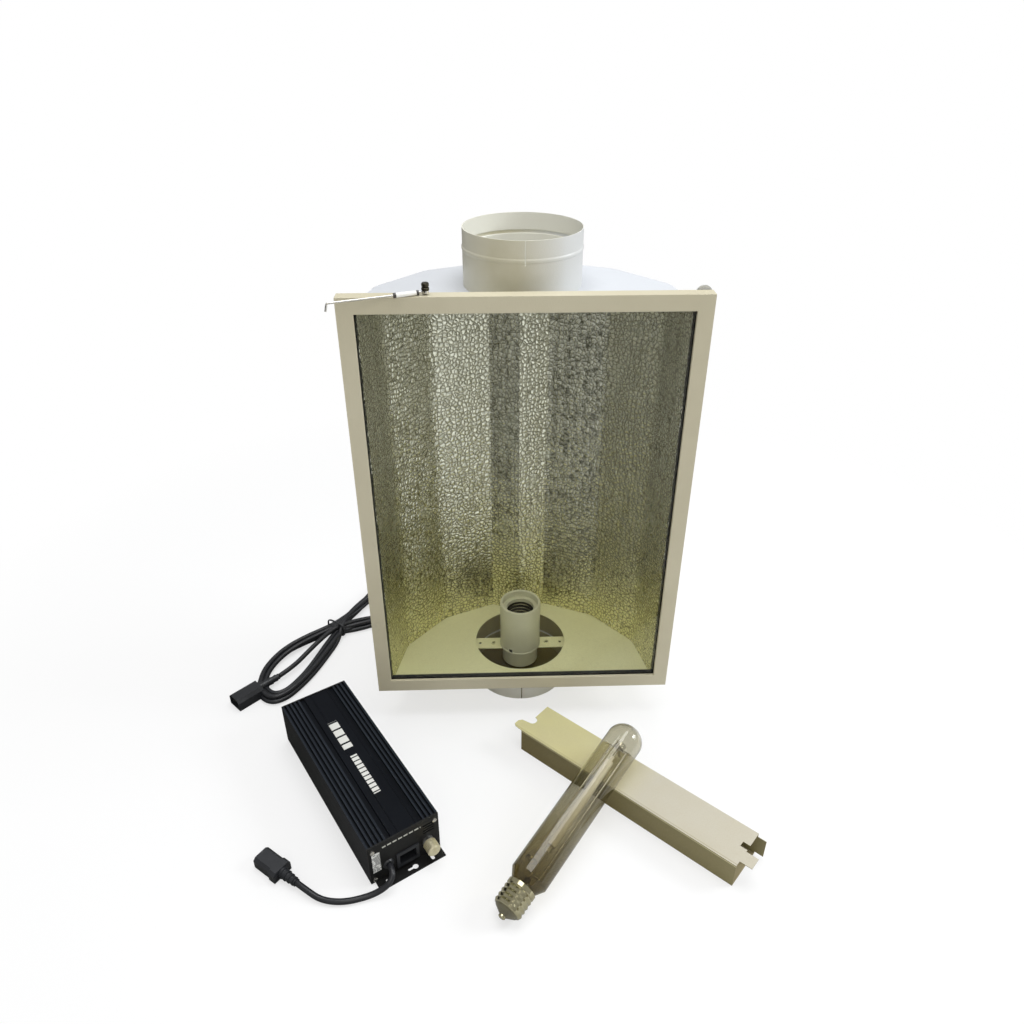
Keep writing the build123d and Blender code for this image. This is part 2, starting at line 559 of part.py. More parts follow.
TIE_AZIMUTH = 52.0
tie_outer = block(-2, 2, -17, 17, 0.2, HANK_TOP + 2)
tie_inner = block(-3, 3, -15, 15, 1.2, HANK_TOP + 0.4)
tie = Pos(TIE_AT[0], TIE_AT[1], 0) * Rot(0, 0, TIE_AZIMUTH) * (tie_outer - tie_inner)
put("hank_tie", tie)
put("lead_hank", nodes["lead_hank"] - tie)


def plug_body(width, height, length, corner):
    """A moulded appliance plug: bevelled oblong along +X, open or slotted end at x = 0."""
    half, top = width / 2, height / 2
    outline = [(-half, -top), (half, -top), (half, top - corner), (half - corner, top),
               (corner - half, top), (-half, top - corner)]
    face = make_face(Polyline(*outline, close=True))
    return extrude(Plane.YZ * face, length)


def boot(length, start_r, end_r):
    """A ribbed strain relief along +X."""
    ribs = 4
    profile = [(0, 0), (start_r, 0)]
    step = length / ribs
    for k in range(ribs):
        radius = start_r + (end_r - start_r) * k / ribs
        z = k * step
        profile += [(radius, z + step * 0.55), (radius - 1.1, z + step * 0.6),
                    (radius - 1.1, z + step * 0.95)]
    profile += [(end_r, length), (0, length)]
    return Plane(origin=(0, 0, 0), z_dir=(1, 0, 0)).location * turned(*profile)


plug = Pos(0, 0, PLUG_MID) * plug_body(PLUG_W, PLUG_H, PLUG_L, 5)
plug -= Pos(-1, 0, PLUG_MID) * plug_body(PLUG_W - 4, PLUG_H - 4, 19, 3.6)
blades = [Pos(6, y, PLUG_MID + z) * Box(24, 2, 4) for y, z in ((-7, -1), (7, -1), (0, 2.5))]
blades = [b & block(2, 18, -20, 20, 0, 40) for b in blades]
put("lead_plug_pins", group(*blades), plug_place)
plug += Pos(PLUG_L, 0, PLUG_MID) * boot(BOOT_L - 2, 7.5, 5.2)
put("lead_plug", plug, plug_place)

# ---------------------------------------------------------------- ballast
ballast = Pos(BALLAST_AT[0], BALLAST_AT[1], 0) * Rot(0, 0, BALLAST_TURN)
half_l, half_w = BALLAST_L / 2, BALLAST_W / 2
case_low, case_high = BASE_PLATE_T, BASE_PLATE_T + BALLAST_H
roof = case_high - RIB_H
PLATEAU = (-16.0, 22.0)
section = Pos(0, (case_low + roof) / 2) * Rectangle(BALLAST_W, roof - case_low)
section -= Pos(0, (case_low + roof) / 2) * Rectangle(BALLAST_W - 2 * CASE_WALL,
                                                    roof - case_low - 2 * CASE_WALL)
section += Pos(sum(PLATEAU) / 2, case_high - RIB_H / 2 - 0.25) * Rectangle(
    PLATEAU[1] - PLATEAU[0], RIB_H - 0.5)
rib_middles = [-half_w + RIB_W / 2 + k * RIB_PITCH for k in range(6)]
rib_middles = [y for y in rib_middles if y < PLATEAU[0] - RIB_W]
rib_middles += [y for y in (half_w - RIB_W / 2 - k * RIB_PITCH for k in range(6))
                if y > PLATEAU[1] + RIB_W]
for y in rib_middles:
    section += Pos(y, case_high - RIB_H / 2 - 0.1) * Rectangle(RIB_W, RIB_H + 0.2)
for y in (PLATEAU[0] + 10, PLATEAU[1] - 3):
    section -= Pos(y, case_high - 0.6) * Rectangle(1.0, 1.2)
BOARD_Z = 17.0
BOARD_T = 1.6
for side in (-1, 1):
    for z in (BOARD_Z - 1.6, BOARD_Z + BOARD_T + 1.6):
        section += Pos(side * (half_w - CASE_WALL - 2), z) * Rectangle(4.4, 3.0)
SCREW_Y = half_w - 6.0
SCREW_Z = (case_low + 6.0, roof - 6.0)
for side in (-1, 1):
    for z in SCREW_Z:
        section += Pos(side * (SCREW_Y + 0.8), z) * Circle(3.4)
        section -= Pos(side * SCREW_Y, z) * Circle(1.65)
case = Pos(-half_l, 0, 0) * extrude(Plane.YZ * section, BALLAST_L)
put("ballast_case", case, ballast)

mounting = block(-half_l - END_PLATE_T - BASE_PLATE_OUT, half_l + END_PLATE_T + BASE_PLATE_OUT,
                 -half_w + 6, half_w, 0, BASE_PLATE_T)
slot_x = half_l + END_PLATE_T + BASE_PLATE_OUT / 2
for end in (-1, 1):
    for y in (-30.0, 34.0):
        mounting -= Pos(end * slot_x, y, 0) * extrude(SlotOverall(9, 5), 10, both=True)
    mounting -= Pos(end * slot_x, 9, 0) * Cylinder(4, 20)
    mounting -= Pos(end * slot_x, 4, 0) * extrude(Rot(0, 0, 90) * SlotOverall(12, 4), 10,
                                                  both=True)
put("ballast_mounting_plate", mounting, ballast)

KNOB_AT = (32.0, 29.0)
INLET_AT = (3.0, 21.0)
OUTLET_AT = (-24.0, 24.0)
INLET_W, INLET_H = 27.0, 20.0
plate_x = half_l + END_PLATE_T
SCREW_SPOTS = [(side * SCREW_Y, z) for side in (-1, 1) for z in SCREW_Z]


def end_plate(x0):
    plate = block(x0, x0 + END_PLATE_T, -half_w, half_w, case_low, case_high)
    for y, z in SCREW_SPOTS:
        plate -= rod((x0 - 5, y, z), (1, 0, 0), 1.7, 10)
    return plate


front_plate = end_plate(half_l)
front_plate -= rod((half_l - 5, *KNOB_AT), (1, 0, 0), 4.0, 20)
front_plate -= rod((half_l - 5, *OUTLET_AT), (1, 0, 0), 6.2, 20)
front_plate -= block(half_l - 5, half_l + 20, INLET_AT[0] - INLET_W / 2 - FIT,
                     INLET_AT[0] + INLET_W / 2 + FIT, INLET_AT[1] - INLET_H / 2 - FIT,
                     INLET_AT[1] + INLET_H / 2 + FIT)
for k in range(4):
    front_plate -= block(half_l - 5, half_l + 20, 27, 43, 44 + 4.5 * k, 46 + 4.5 * k)
put("ballast_front_plate", front_plate, ballast)
rear_plate = end_plate(-plate_x)
for k in range(8):
    rear_plate -= block(-plate_x - 5, -half_l + 5, -22, 22, 20 + 4.5 * k, 22 + 4.5 * k)
put("ballast_rear_plate", rear_plate, ballast)
plate_screws = []
for y, z in SCREW_SPOTS:
    for end in (-1, 1):
        place = Plane(origin=(end * plate_x, y, z), z_dir=(end, 0, 0)).location
        plate_screws.append(place * turned((0, -11), (1.6, -11), (1.6, 0), (3.3, 0), (3.1, 1.3),
                                           (1.8, 2.2), (0, 2.2)))
put("end_plate_screws", group(*plate_screws), ballast)

board_y = half_w - CASE_WALL - 0.4
board_back = -half_l + 8
board_front = half_l - 26
board = block(board_back, board_front, -board_y, board_y, BOARD_Z, BOARD_Z + BOARD_T)
board_top = BOARD_Z + BOARD_T
choke = block(-95, -50, -22, 22, board_top, board_top + 12)
choke += block(-88, -57, -26, 26, board_top + 12, board_top + 30)
choke += block(-95, -50, -22, 22, board_top + 30, board_top + 38)
cans = [rod((x, y, board_top), (0, 0, 1), 9, 30) for x, y in ((0, -20), (0, 4), (26, -20), (26, 4))]
put("ballast_circuit_board", group(board, choke, *cans), ballast)

INLET_DEPTH = 16.0
INLET_PIN_L = 7.0
inlet = block(half_l - INLET_DEPTH, plate_x + 0.5, INLET_AT[0] - INLET_W / 2,
              INLET_AT[0] + INLET_W / 2, INLET_AT[1] - INLET_H / 2, INLET_AT[1] + INLET_H / 2)
inlet += block(plate_x, plate_x + 2, INLET_AT[0] - 16, INLET_AT[0] + 16, INLET_AT[1] - 13,
               INLET_AT[1] + 13)
inlet -= block(half_l - INLET_DEPTH + 2, plate_x + 5, INLET_AT[0] - 11.8, INLET_AT[0] + 11.8,
               INLET_AT[1] - 8, INLET_AT[1] + 8)
pin_start = half_l - INLET_DEPTH + 2
inlet_pins = [block(pin_start, pin_start + INLET_PIN_L, INLET_AT[0] + y - 1,
                    INLET_AT[0] + y + 1, INLET_AT[1] + z - 2, INLET_AT[1] + z + 2)
              for y, z in ((-7, 2), (7, 2), (0, -2))]
put("mains_inlet", group(inlet, *inlet_pins), ballast)

grommet = turned((CORD_R + 0.02, -3), (7.6, -3), (7.6, 0), (6.1, 0), (6.1, END_PLATE_T),
                 (7.8, END_PLATE_T), (6.6, END_PLATE_T + 2), (CORD_R + 0.02, END_PLATE_T + 2))
put("output_grommet", Plane(origin=(half_l, *OUTLET_AT), z_dir=(1, 0, 0)).location * grommet,
    ballast)
RATING_Y = (-45.5, -34.5)
put("rating_plate", block(plate_x, plate_x + 0.5, *RATING_Y, 21, 56), ballast)

# ---------------------------------------------------------------- dimmer
knob_x = plate_x + 5.6
shaft_bore = rod((half_l - 40, *KNOB_AT), (1, 0, 0), SHAFT_R + RUNNING, 80)
control = rod((half_l - 12, *KNOB_AT), (1, 0, 0), 8.5, 11.9)
control += rod((half_l - 2, *KNOB_AT), (1, 0, 0), 3.9, 2 + END_PLATE_T)
control += hexagon((plate_x, *KNOB_AT), (1, 0, 0), 14, 5)
put("dimmer_control", control - shaft_bore, ballast)
put("dimmer_shaft", rod((half_l - 11, *KNOB_AT), (1, 0, 0), SHAFT_R, knob_x + 10 - half_l + 11),
    ballast)
knob_place = Plane(origin=(knob_x, *KNOB_AT), x_dir=(0, 1, 0), z_dir=(1, 0, 0)).location
knob = turned((SHAFT_R + 0.02, 0), (KNOB_R, 0), (KNOB_R, KNOB_L - 1.5), (KNOB_R - 1.5, KNOB_L),
              (0, KNOB_L), (0, 10.02), (SHAFT_R + 0.02, 10.02))
for k in range(24):
    turn = Rot(0, 0, 15 * k)
    knob -= turn * Pos(KNOB_R + 0.1, 0, KNOB_L / 2 - 1) * Box(0.9, 0.9, KNOB_L - 5)
knob -= block(-0.6, 0.6, 2, KNOB_R, KNOB_L - 0.6, KNOB_L + 1)
put("dimmer_knob", knob_place * knob, ballast)

# ---------------------------------------------------------------- output lead
OUTLET_END = END_PLATE_T + 2
lead_start = (ballast * Pos(half_l + OUTLET_END, *OUTLET_AT)).position
lead_turn = (ballast * Pos(half_l + OUTLET_END + 11, *OUTLET_AT)).position
CONNECTOR_AT = (-298.0, -397.5)
CONNECTOR_Z = 9.0
OUTPUT_LEAD = [tuple(lead_start), tuple(lead_turn), (-178.6, -406.6, 17.2), (-189.0, -411.5, 9.8),
               (-206.0, -416.5, 4.4), (-236.0, -423.5, 4.4), (-264.0, -419.5, 4.4),
               (-284.0, -408.0, CONNECTOR_Z), (*CONNECTOR_AT, CONNECTOR_Z)]
output_lead = cord(OUTPUT_LEAD, CORD_R, "output_lead")
put("output_lead", output_lead + ballast * rod((half_l - 25, *OUTLET_AT), (1, 0, 0), CORD_R,
                                               25 + OUTLET_END))
connector_azimuth = math.degrees(math.atan2(CONNECTOR_AT[1] + 408.0, CONNECTOR_AT[0] + 284.0))
connector_place = Pos(*CONNECTOR_AT, CONNECTOR_Z) * Rot(0, 0, connector_azimuth)
BOOT_OUT = 26.0
connector = Pos(BOOT_OUT, 0, 0) * plug_body(25, 17, 40, 4)
connector -= Pos(BOOT_OUT + 30, 0, 0) * (plug_body(20, 12, 20, 3.5) - plug_body(17, 9.5, 20, 3))
connector += Pos(BOOT_OUT, 0, 0) * plug_body(28, 17, 11, 4)
connector += Pos(BOOT_OUT, 0, 0) * mirror(boot(BOOT_OUT, 7.8, 5.2), about=Plane.YZ)
for y, z in ((-5.4, -1), (5.4, -1), (0, 2)):
    connector -= Pos(BOOT_OUT + 36, y, z) * Box(20, 1.6, 3)
put("output_connector", connector, connector_place)


# ---------------------------------------------------------------- card sleeve
sleeve_place = Pos(SLEEVE_CORNER[0], SLEEVE_CORNER[1], 0) * Rot(0, 0, SLEEVE_AZIMUTH)
sleeve = block(0, SLEEVE_L, 0, SLEEVE_W, 0, SLEEVE_H)
sleeve -= block(-1, SLEEVE_L + 1, SLEEVE_T, SLEEVE_W - SLEEVE_T, SLEEVE_T, SLEEVE_H - SLEEVE_T)
tab = Pos(-16, 0, SLEEVE_H - SLEEVE_T) * extrude(
    make_face(Polyline((16, 0), (4, 1), (0, 4), (0, 12), (4, 17), (16, 19), close=True)), SLEEVE_T)
sleeve += tab
notch = Pos(0, 26, SLEEVE_H) * Cylinder(7, 10)
sleeve -= notch
far_tab = block(SLEEVE_L, SLEEVE_L + 17, 9, 27, SLEEVE_H - SLEEVE_T, SLEEVE_H)
sleeve += far_tab
sleeve -= block(SLEEVE_L - 10, SLEEVE_L + 1, 30, 38, SLEEVE_H - 5, SLEEVE_H + 5)
sleeve += block(SLEEVE_L, SLEEVE_L + 12, SLEEVE_W - SLEEVE_T, SLEEVE_W, 4, SLEEVE_H - 6)
put("card_sleeve", sleeve, sleeve_place)


# ---------------------------------------------------------------- lamp
def lamp_axis(tilt):
    """Tip and direction of the lamp's axis when its cap touches the floor at this tilt."""
    lift, turn = math.radians(tilt), math.radians(LAMP_AZIMUTH)
    direction = Vector(math.cos(lift) * math.cos(turn), math.cos(lift) * math.sin(turn),
                       math.sin(lift))
    height = REST_GAP + LAMP_CAP_R * math.cos(lift) - CAP_SKIRT * math.sin(lift)
    return Vector(*LAMP_TIP, height), direction


def clear_of_sleeve(tilt):
    """Distance from the lamp's axis to the sleeve's near top edge, over its own radius."""
    tip, direction = lamp_axis(tilt)
    turn = math.radians(SLEEVE_AZIMUTH)
    edge = Vector(math.cos(turn), math.sin(turn), 0)
    across = direction.cross(edge)
    between = tip - Vector(*SLEEVE_CORNER, SLEEVE_H)
    return abs(between.dot(across)) / across.length - LAMP_R - REST_GAP


CAP_SKIRT = 12.0             # from the contact's tip to the first thread
CAP_L = 44.0
SHOULDER = 58.0              # from the tip to where the glass reaches its full width
low_tilt, high_tilt = 5.0, 30.0
for step in range(40):
    middle_tilt = (low_tilt + high_tilt) / 2
    if clear_of_sleeve(middle_tilt) < 0:
        low_tilt = middle_tilt
    else:
        high_tilt = middle_tilt
LAMP_TILT = high_tilt
tip, direction = lamp_axis(LAMP_TILT)
print("lamp tilt", round(LAMP_TILT, 2), "tip", tip, "axis", direction)
lamp = Plane(origin=tip, x_dir=direction.cross(Vector(0, 0, 1)), z_dir=direction).location

cap_side = [(LAMP_CAP_R - 3.2, CAP_SKIRT - 1)]
turns = int((CAP_L - CAP_SKIRT - 4) // THREAD_PITCH)
for k in range(turns):
    z = CAP_SKIRT + k * THREAD_PITCH
    cap_side += [(LAMP_CAP_R - 1.5, z), (LAMP_CAP_R, z + THREAD_PITCH / 2)]
cap_top = CAP_SKIRT + turns * THREAD_PITCH
cap_side += [(LAMP_CAP_R - 1.5, cap_top), (LAMP_CAP_R - 0.3, cap_top + 1.5),
             (LAMP_CAP_R - 0.3, CAP_L)]
cap_inside = [(LAMP_CAP_R - 2.4, CAP_L), (LAMP_CAP_R - 2.4, CAP_SKIRT + 1),
              (LAMP_CAP_R - 3.2, CAP_SKIRT + 1)]
put("lamp_cap", turned(*(cap_side + cap_inside)), lamp)
put("lamp_insulator", turned((0, 3.4), (5, 3.4), (LAMP_CAP_R - 4.6, CAP_SKIRT - 2.6),
                             (LAMP_CAP_R - 3.25, CAP_SKIRT - 1), (LAMP_CAP_R - 3.25, CAP_SKIRT + 1),
                             (LAMP_CAP_R - 2.5, CAP_SKIRT + 1), (LAMP_CAP_R - 2.5, CAP_SKIRT + 4),
                             (0, CAP_SKIRT + 4)), lamp)
put("lamp_contact", turned((0, 0), (3.2, 0), (4.8, 1.2), (4.8, 3.4), (0, 3.4)), lamp)


def envelope_side(inset):
    """The glass outline: neck, shoulder, straight tube and a domed end."""
    neck_r = LAMP_CAP_R - 2.4 - FIT - inset
    body_r = LAMP_R - inset
    start = CAP_SKIRT + 8
    dome = DOME_L - inset
    side = [(0, start + inset), (neck_r, start + inset), (neck_r, CAP_L + 1), (body_r, SHOULDER)]
    for k in range(DOME_STEPS + 1):
        turn = math.pi / 2 * k / DOME_STEPS
        side.append((body_r * math.cos(turn) if k < DOME_STEPS else 0,
                     LAMP_L - DOME_L + dome * math.sin(turn)))
    return side


DOME_L = 23.0
DOME_STEPS = 12
bulb = turned(*envelope_side(0)) - turned(*envelope_side(ENVELOPE_T))
put("lamp_envelope", bulb, lamp)
stem_low = CAP_SKIRT + 8 + ENVELOPE_T
stem = turned((0, stem_low), (9, stem_low), (5.5, stem_low + 16), (4.2, stem_low + 36),
              (0, stem_low + 36))
put("lamp_stem", stem, lamp)
ARC_LOW, ARC_HIGH = 98.0, 258.0
tube = turned((0, ARC_LOW), (2.4, ARC_LOW), (2.4, ARC_LOW + 8), (ARC_R, ARC_LOW + 9),
              (ARC_R, ARC_HIGH - 9), (2.4, ARC_HIGH - 8), (2.4, ARC_HIGH), (0, ARC_HIGH))
put("arc_tube", tube, lamp)
FRAME_X = 12.5
FRAME_WIRE_R = 1.1
stem_top = stem_low + 36
wires = rod((FRAME_X, 0, stem_top + 4), (0, 0, 1), FRAME_WIRE_R, ARC_HIGH + 14 - stem_top - 4)
wires += rod((0, 0, stem_top), (0, 0, 1), FRAME_WIRE_R, ARC_LOW - stem_top)
wires += rod((0, 0, stem_top + 6), (1, 0, 0), FRAME_WIRE_R, FRAME_X)
wires += rod((0, 0, ARC_HIGH), (0, 0, 1), FRAME_WIRE_R, 14)
wires += rod((-FRAME_X, 0, ARC_HIGH + 13), (1, 0, 0), FRAME_WIRE_R, 2 * FRAME_X)
wires += rod((-FRAME_X, 0, ARC_LOW - 10), (0, 0, 1), FRAME_WIRE_R, ARC_HIGH + 24 - ARC_LOW)
wires += rod((-FRAME_X, 0, ARC_LOW - 10), (1, 0, 0), FRAME_WIRE_R, FRAME_X)
spring_z = ARC_HIGH + 16
spring_arms = block(-20, 20, -2, 2, spring_z - 2, spring_z - 1.2)
spring_arms += block(-2, 2, -20, 20, spring_z - 2, spring_z - 1.2)
end_cup = turned((0, spring_z - 1.5), (7.5, spring_z - 1.5), (7.5, spring_z + 6),
                 (6.5, spring_z + 6), (6.5, spring_z - 0.5), (0, spring_z - 0.5))
put("lamp_frame", wires + spring_arms + end_cup, lamp)
getter = turned((6.5, 78), (8.5, 78), (8.5, 80), (6.5, 80))
getter = Pos(-10.5, 0, 0) * getter
getter += block(-2.4, -1.15, -1, 1, 78.4, 79.6)
put("lamp_getter", getter, lamp)

# ---------------------------------------------------------------- write the parts
os.makedirs("parts", exist_ok=True)
for name, shape in nodes.items():
    export_step(shape, f"parts/{name}.step")
print(len(nodes), "nodes")
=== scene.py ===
import bpy
import math
import numpy as np
from mathutils import Matrix, Vector


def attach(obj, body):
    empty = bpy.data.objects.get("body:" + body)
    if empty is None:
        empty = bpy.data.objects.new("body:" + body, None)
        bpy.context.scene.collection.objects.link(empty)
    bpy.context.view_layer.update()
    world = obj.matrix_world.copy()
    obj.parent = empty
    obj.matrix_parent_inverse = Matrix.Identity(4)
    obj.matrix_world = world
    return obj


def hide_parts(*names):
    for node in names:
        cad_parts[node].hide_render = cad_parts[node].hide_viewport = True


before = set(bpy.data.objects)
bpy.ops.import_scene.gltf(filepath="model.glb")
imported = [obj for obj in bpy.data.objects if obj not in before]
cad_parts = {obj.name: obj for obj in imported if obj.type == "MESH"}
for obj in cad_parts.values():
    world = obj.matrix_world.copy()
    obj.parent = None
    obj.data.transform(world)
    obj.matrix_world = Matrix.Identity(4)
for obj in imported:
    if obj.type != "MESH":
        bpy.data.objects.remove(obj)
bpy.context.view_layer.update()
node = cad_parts

# ---------------------------------------------------------------- studio
# A white floor under a broad overhead softbox, a cool key from the right and a weak front fill.
# The camera stands in front of the hood at eye level of a seated person, looking down.
scene = bpy.context.scene
scene.view_settings.view_transform = "Standard"

YAW, PITCH = math.radians(1.81), math.radians(32.0)
EYE = (-0.0461, -1.0427, 0.9590)
ahead = Vector((math.sin(YAW) * math.cos(PITCH), math.cos(YAW) * math.cos(PITCH), -math.sin(PITCH)))
side = Vector((math.cos(YAW), -math.sin(YAW), 0))
above = side.cross(ahead)
camera = bpy.data.objects.new("studio_camera", bpy.data.cameras.new("studio_camera"))
camera.data.lens = 29.05
camera.data.sensor_width = 36
camera.data.clip_start = 0.02
camera.matrix_world = Matrix.Translation(EYE) @ Matrix((side, above, -ahead)).transposed().to_4x4()
scene.collection.objects.link(camera)
scene.camera = camera

world = bpy.data.worlds.new("studio_world")
scene.world = world
world.use_nodes = True
world.node_tree.nodes.clear()


def backdrop(strength):
    """An even white surround of this strength."""
    surround = world.node_tree.nodes.new("ShaderNodeBackground")
    surround.inputs["Color"].default_value = (1, 1, 1, 1)
    surround.inputs["Strength"].default_value = strength
    return surround


sky, white = backdrop(0.44), backdrop(1.0)
seen = world.node_tree.nodes.new("ShaderNodeLightPath")
choice = world.node_tree.nodes.new("ShaderNodeMixShader")
world_out = world.node_tree.nodes.new("ShaderNodeOutputWorld")
world.node_tree.links.new(seen.outputs["Is Camera Ray"], choice.inputs[0])
world.node_tree.links.new(sky.outputs[0], choice.inputs[1])
world.node_tree.links.new(white.outputs[0], choice.inputs[2])
world.node_tree.links.new(choice.outputs[0], world_out.inputs["Surface"])


def softbox(name, place, target, size, watts, tint):
    """A square area lamp at place, facing target."""
    lamp = bpy.data.lights.new(name, "AREA")
    lamp.shape = "SQUARE"
    lamp.color = tint
    lamp.size = size
    lamp.energy = watts
    holder = bpy.data.objects.new(name, lamp)
    aim = (Vector(target) - Vector(place)).to_track_quat("-Z", "Y")
    holder.matrix_world = Matrix.Translation(place) @ aim.to_matrix().to_4x4()
    scene.collection.objects.link(holder)


softbox("overhead_softbox", (0.05, 0.05, 2.3), (0.0, -0.05, 0.3), 1.5, 29, (0.97, 0.98, 1.0))
softbox("right_key", (2.2, -0.1, 1.5), (0.0, -0.1, 0.5), 0.8, 29, (0.93, 0.97, 1.0))
softbox("front_fill", (0.0, -1.9, 1.9), (-0.02, -0.1, 0.25), 1.1, 8, (1.0, 0.97, 0.88))


# ---------------------------------------------------------------- studio floor
# A wide white sheet under all the pieces. It stays white however the lamps fall on it, but for the
# shadow under each piece and the painted shade on it inside the lower collar. Its left side is
# painted dark for mirror rays only: a painted dark reflection in the reflector.
class Value:
    """A shader socket that takes part in Python sums."""

    def __init__(self, finish, socket):
        self.finish = finish
        self.socket = socket

    def maths(self, operation, *others):
        feeds = dict(enumerate((self,) + others))
        return self.finish.node("ShaderNodeMath", {"operation": operation}, feeds)

    def __add__(self, other):
        return self.maths("ADD", other)

    def __radd__(self, other):
        return self.maths("ADD", other)

    def __mul__(self, other):
        return self.maths("MULTIPLY", other)

    def __sub__(self, other):
        return self.maths("SUBTRACT", other)

    def __rsub__(self, other):
        flipped = self.maths("MULTIPLY", -1.0)
        return flipped + other

    def __gt__(self, other):
        return self.maths("GREATER_THAN", other)

    def __lt__(self, other):
        return self.maths("LESS_THAN", other)

    def inside(self, low, high):
        """1 between low and high, 0 elsewhere."""
        return (self > low) * (self < high)

    def between(self, low, high):
        """0 below low, 1 above high, straight in between."""
        return self.finish.node("ShaderNodeMapRange", {}, {0: self, 1: low, 2: high, 3: 0.0, 4: 1.0})


class Finish:
    """One material: a Principled shader and the nodes that feed it."""

    def __init__(self, name, **plain):
        self.material = bpy.data.materials.new(name)
        self.material.use_nodes = True
        self.tree = self.material.node_tree
        self.tree.nodes.clear()
        self.shader = self.tree.nodes.new("ShaderNodeBsdfPrincipled")
        self.end = self.tree.nodes.new("ShaderNodeOutputMaterial")
        self.tree.links.new(self.shader.outputs[0], self.end.inputs["Surface"])
        for socket, value in plain.items():
            self.feed(self.shader.inputs[socket.replace("_", " ")], value)

    def feed(self, socket, value):
        if isinstance(value, Value):
            self.tree.links.new(value.socket, socket)
        elif isinstance(value, tuple) and len(value) == 3 and socket.type == "RGBA":
            socket.default_value = (*value, 1.0)
        else:
            socket.default_value = value

    def node(self, kind, settings, feeds, out=0):
        """A node of this kind: its settings first, then its sockets' values or links."""
        made = self.tree.nodes.new(kind)
        for name, value in settings.items():
            setattr(made, name, value)
        for socket, value in feeds.items():
            self.feed(made.inputs[socket], value)
        return Value(self, made.outputs[out])

    def place(self, turn=0.0, stretch=(1, 1, 1)):
        """Object coordinates, turned about Z and stretched."""
        here = self.node("ShaderNodeTexCoord", {}, {}, "Object")
        if turn:
            here = self.node("ShaderNodeMapping", {}, {"Vector": here, "Rotation": (0, 0, turn)})
        if tuple(stretch) != (1, 1, 1):
            here = self.node("ShaderNodeMapping", {}, {"Vector": here, "Scale": stretch})
        return here

    def own_place(self, corner, turn):
        """Coordinates along a piece that lies turned about Z, measured from its own corner."""
        feeds = {"Vector": self.place(), "Location": (*corner, 0), "Rotation": (0, 0, turn)}
        return self.node("ShaderNodeMapping", {"vector_type": "TEXTURE"}, feeds)

    def grain(self, scale, detail=4.0, rough=0.55, at=None):
        feeds = {"Vector": at or self.place(), "Scale": scale, "Detail": detail, "Roughness": rough}
        return self.node("ShaderNodeTexNoise", {}, feeds)

    def blend(self, share, a, b):
        return self.node("ShaderNodeMix", {"data_type": "RGBA"}, {0: share, 6: a, 7: b}, 2)

    def facing(self):
        """The surface's own outward direction, without bumps."""
        return self.node("ShaderNodeNewGeometry", {}, {}, "True Normal")

    def axis(self, letter, at=None):
        return self.node("ShaderNodeSeparateXYZ", {}, {0: at or self.place()}, letter)

    def bump(self, height, depth):
        """Raised by depth metres where height is 1."""
        feeds = {"Height": height, "Distance": depth, "Strength": 1.0}
        self.feed(self.shader.inputs["Normal"], self.node("ShaderNodeBump", {}, feeds))

    def colour(self, value):
        self.feed(self.shader.inputs["Base Color"], value)

    def rough(self, value):
        self.feed(self.shader.inputs["Roughness"], value)


FLOOR_HALF, FLOOR_Z = 9, -0.0004
COLLAR_BORE = .0745
floor_finish = Finish("studio_floor", Roughness=0.9)
rays = floor_finish.tree.nodes.new("ShaderNodeLightPath")
mirrored = Value(floor_finish, rays.outputs["Is Glossy Ray"])
mirrored = mirrored * (Value(floor_finish, rays.outputs["Glossy Depth"]) > .5)
watched = Value(floor_finish, rays.outputs["Is Camera Ray"])
mark = floor_finish.place()
away = floor_finish.node("ShaderNodeVectorMath", {"operation": "LENGTH"}, {0: mark}, "Value")
# Seen in mirrors, the floor's left side is painted dark: a painted reflection.
painted_reflection_side = 1.0 - floor_finish.axis("X", mark).between(-.45, .35)
# Inside the lower collar the floor takes painted shade, and the whitening leaves it out.
collar_painted_shade = away < COLLAR_BORE
pale = floor_finish.blend(floor_finish.grain(3.0), (0.93, 0.93, 0.93), (0.95, 0.95, 0.95))
pale = floor_finish.blend(mirrored * painted_reflection_side, pale, (0.07, 0.07, 0.055))
floor_finish.colour(floor_finish.blend(collar_painted_shade, pale, (0.12, 0.09, 0.018)))
glow = floor_finish.tree.nodes.new("ShaderNodeEmission")
glow_mix = floor_finish.tree.nodes.new("ShaderNodeMixShader")
whiten = watched * (1.0 - collar_painted_shade) * (0.62 + away.between(.45, 1.1) * 0.38)
floor_finish.feed(glow_mix.inputs[0], whiten)
floor_finish.tree.links.new(floor_finish.shader.outputs[0], glow_mix.inputs[1])
floor_finish.tree.links.new(glow.outputs[0], glow_mix.inputs[2])
floor_finish.tree.links.new(glow_mix.outputs[0], floor_finish.end.inputs["Surface"])
floor_mesh = bpy.data.meshes.new("studio_floor")
corners = ((-1, -1), (1, -1), (1, 1), (-1, 1))
floor_mesh.from_pydata([(x * FLOOR_HALF, y * FLOOR_HALF, FLOOR_Z) for x, y in corners], [],
                       [(0, 1, 2, 3)])
floor_mesh.materials.append(floor_finish.material)
floor = bpy.data.objects.new("studio_floor", floor_mesh)
scene.collection.objects.link(floor)

# ---------------------------------------------------------------- hood lead and its hank
# Eight-millimetre round flexible cord, black sheath over three cores. It leaves the gland behind
# the hood, lies on the floor and is wound into a flat hank bound in the middle.
CORD = 0.008
LYING = .0044                      # height of the cord's middle where it lies on the floor
cord_finish = Finish("cord_sheath", IOR=1.5)
wear = cord_finish.grain(60.0)
cord_finish.colour(cord_finish.blend(wear, (0.006, 0.0065, 0.008), (0.016, 0.017, 0.021)))
cord_finish.rough(0.30 + wear * 0.16)
cord_finish.bump(cord_finish.grain(420.0, 2.0), 0.00018)


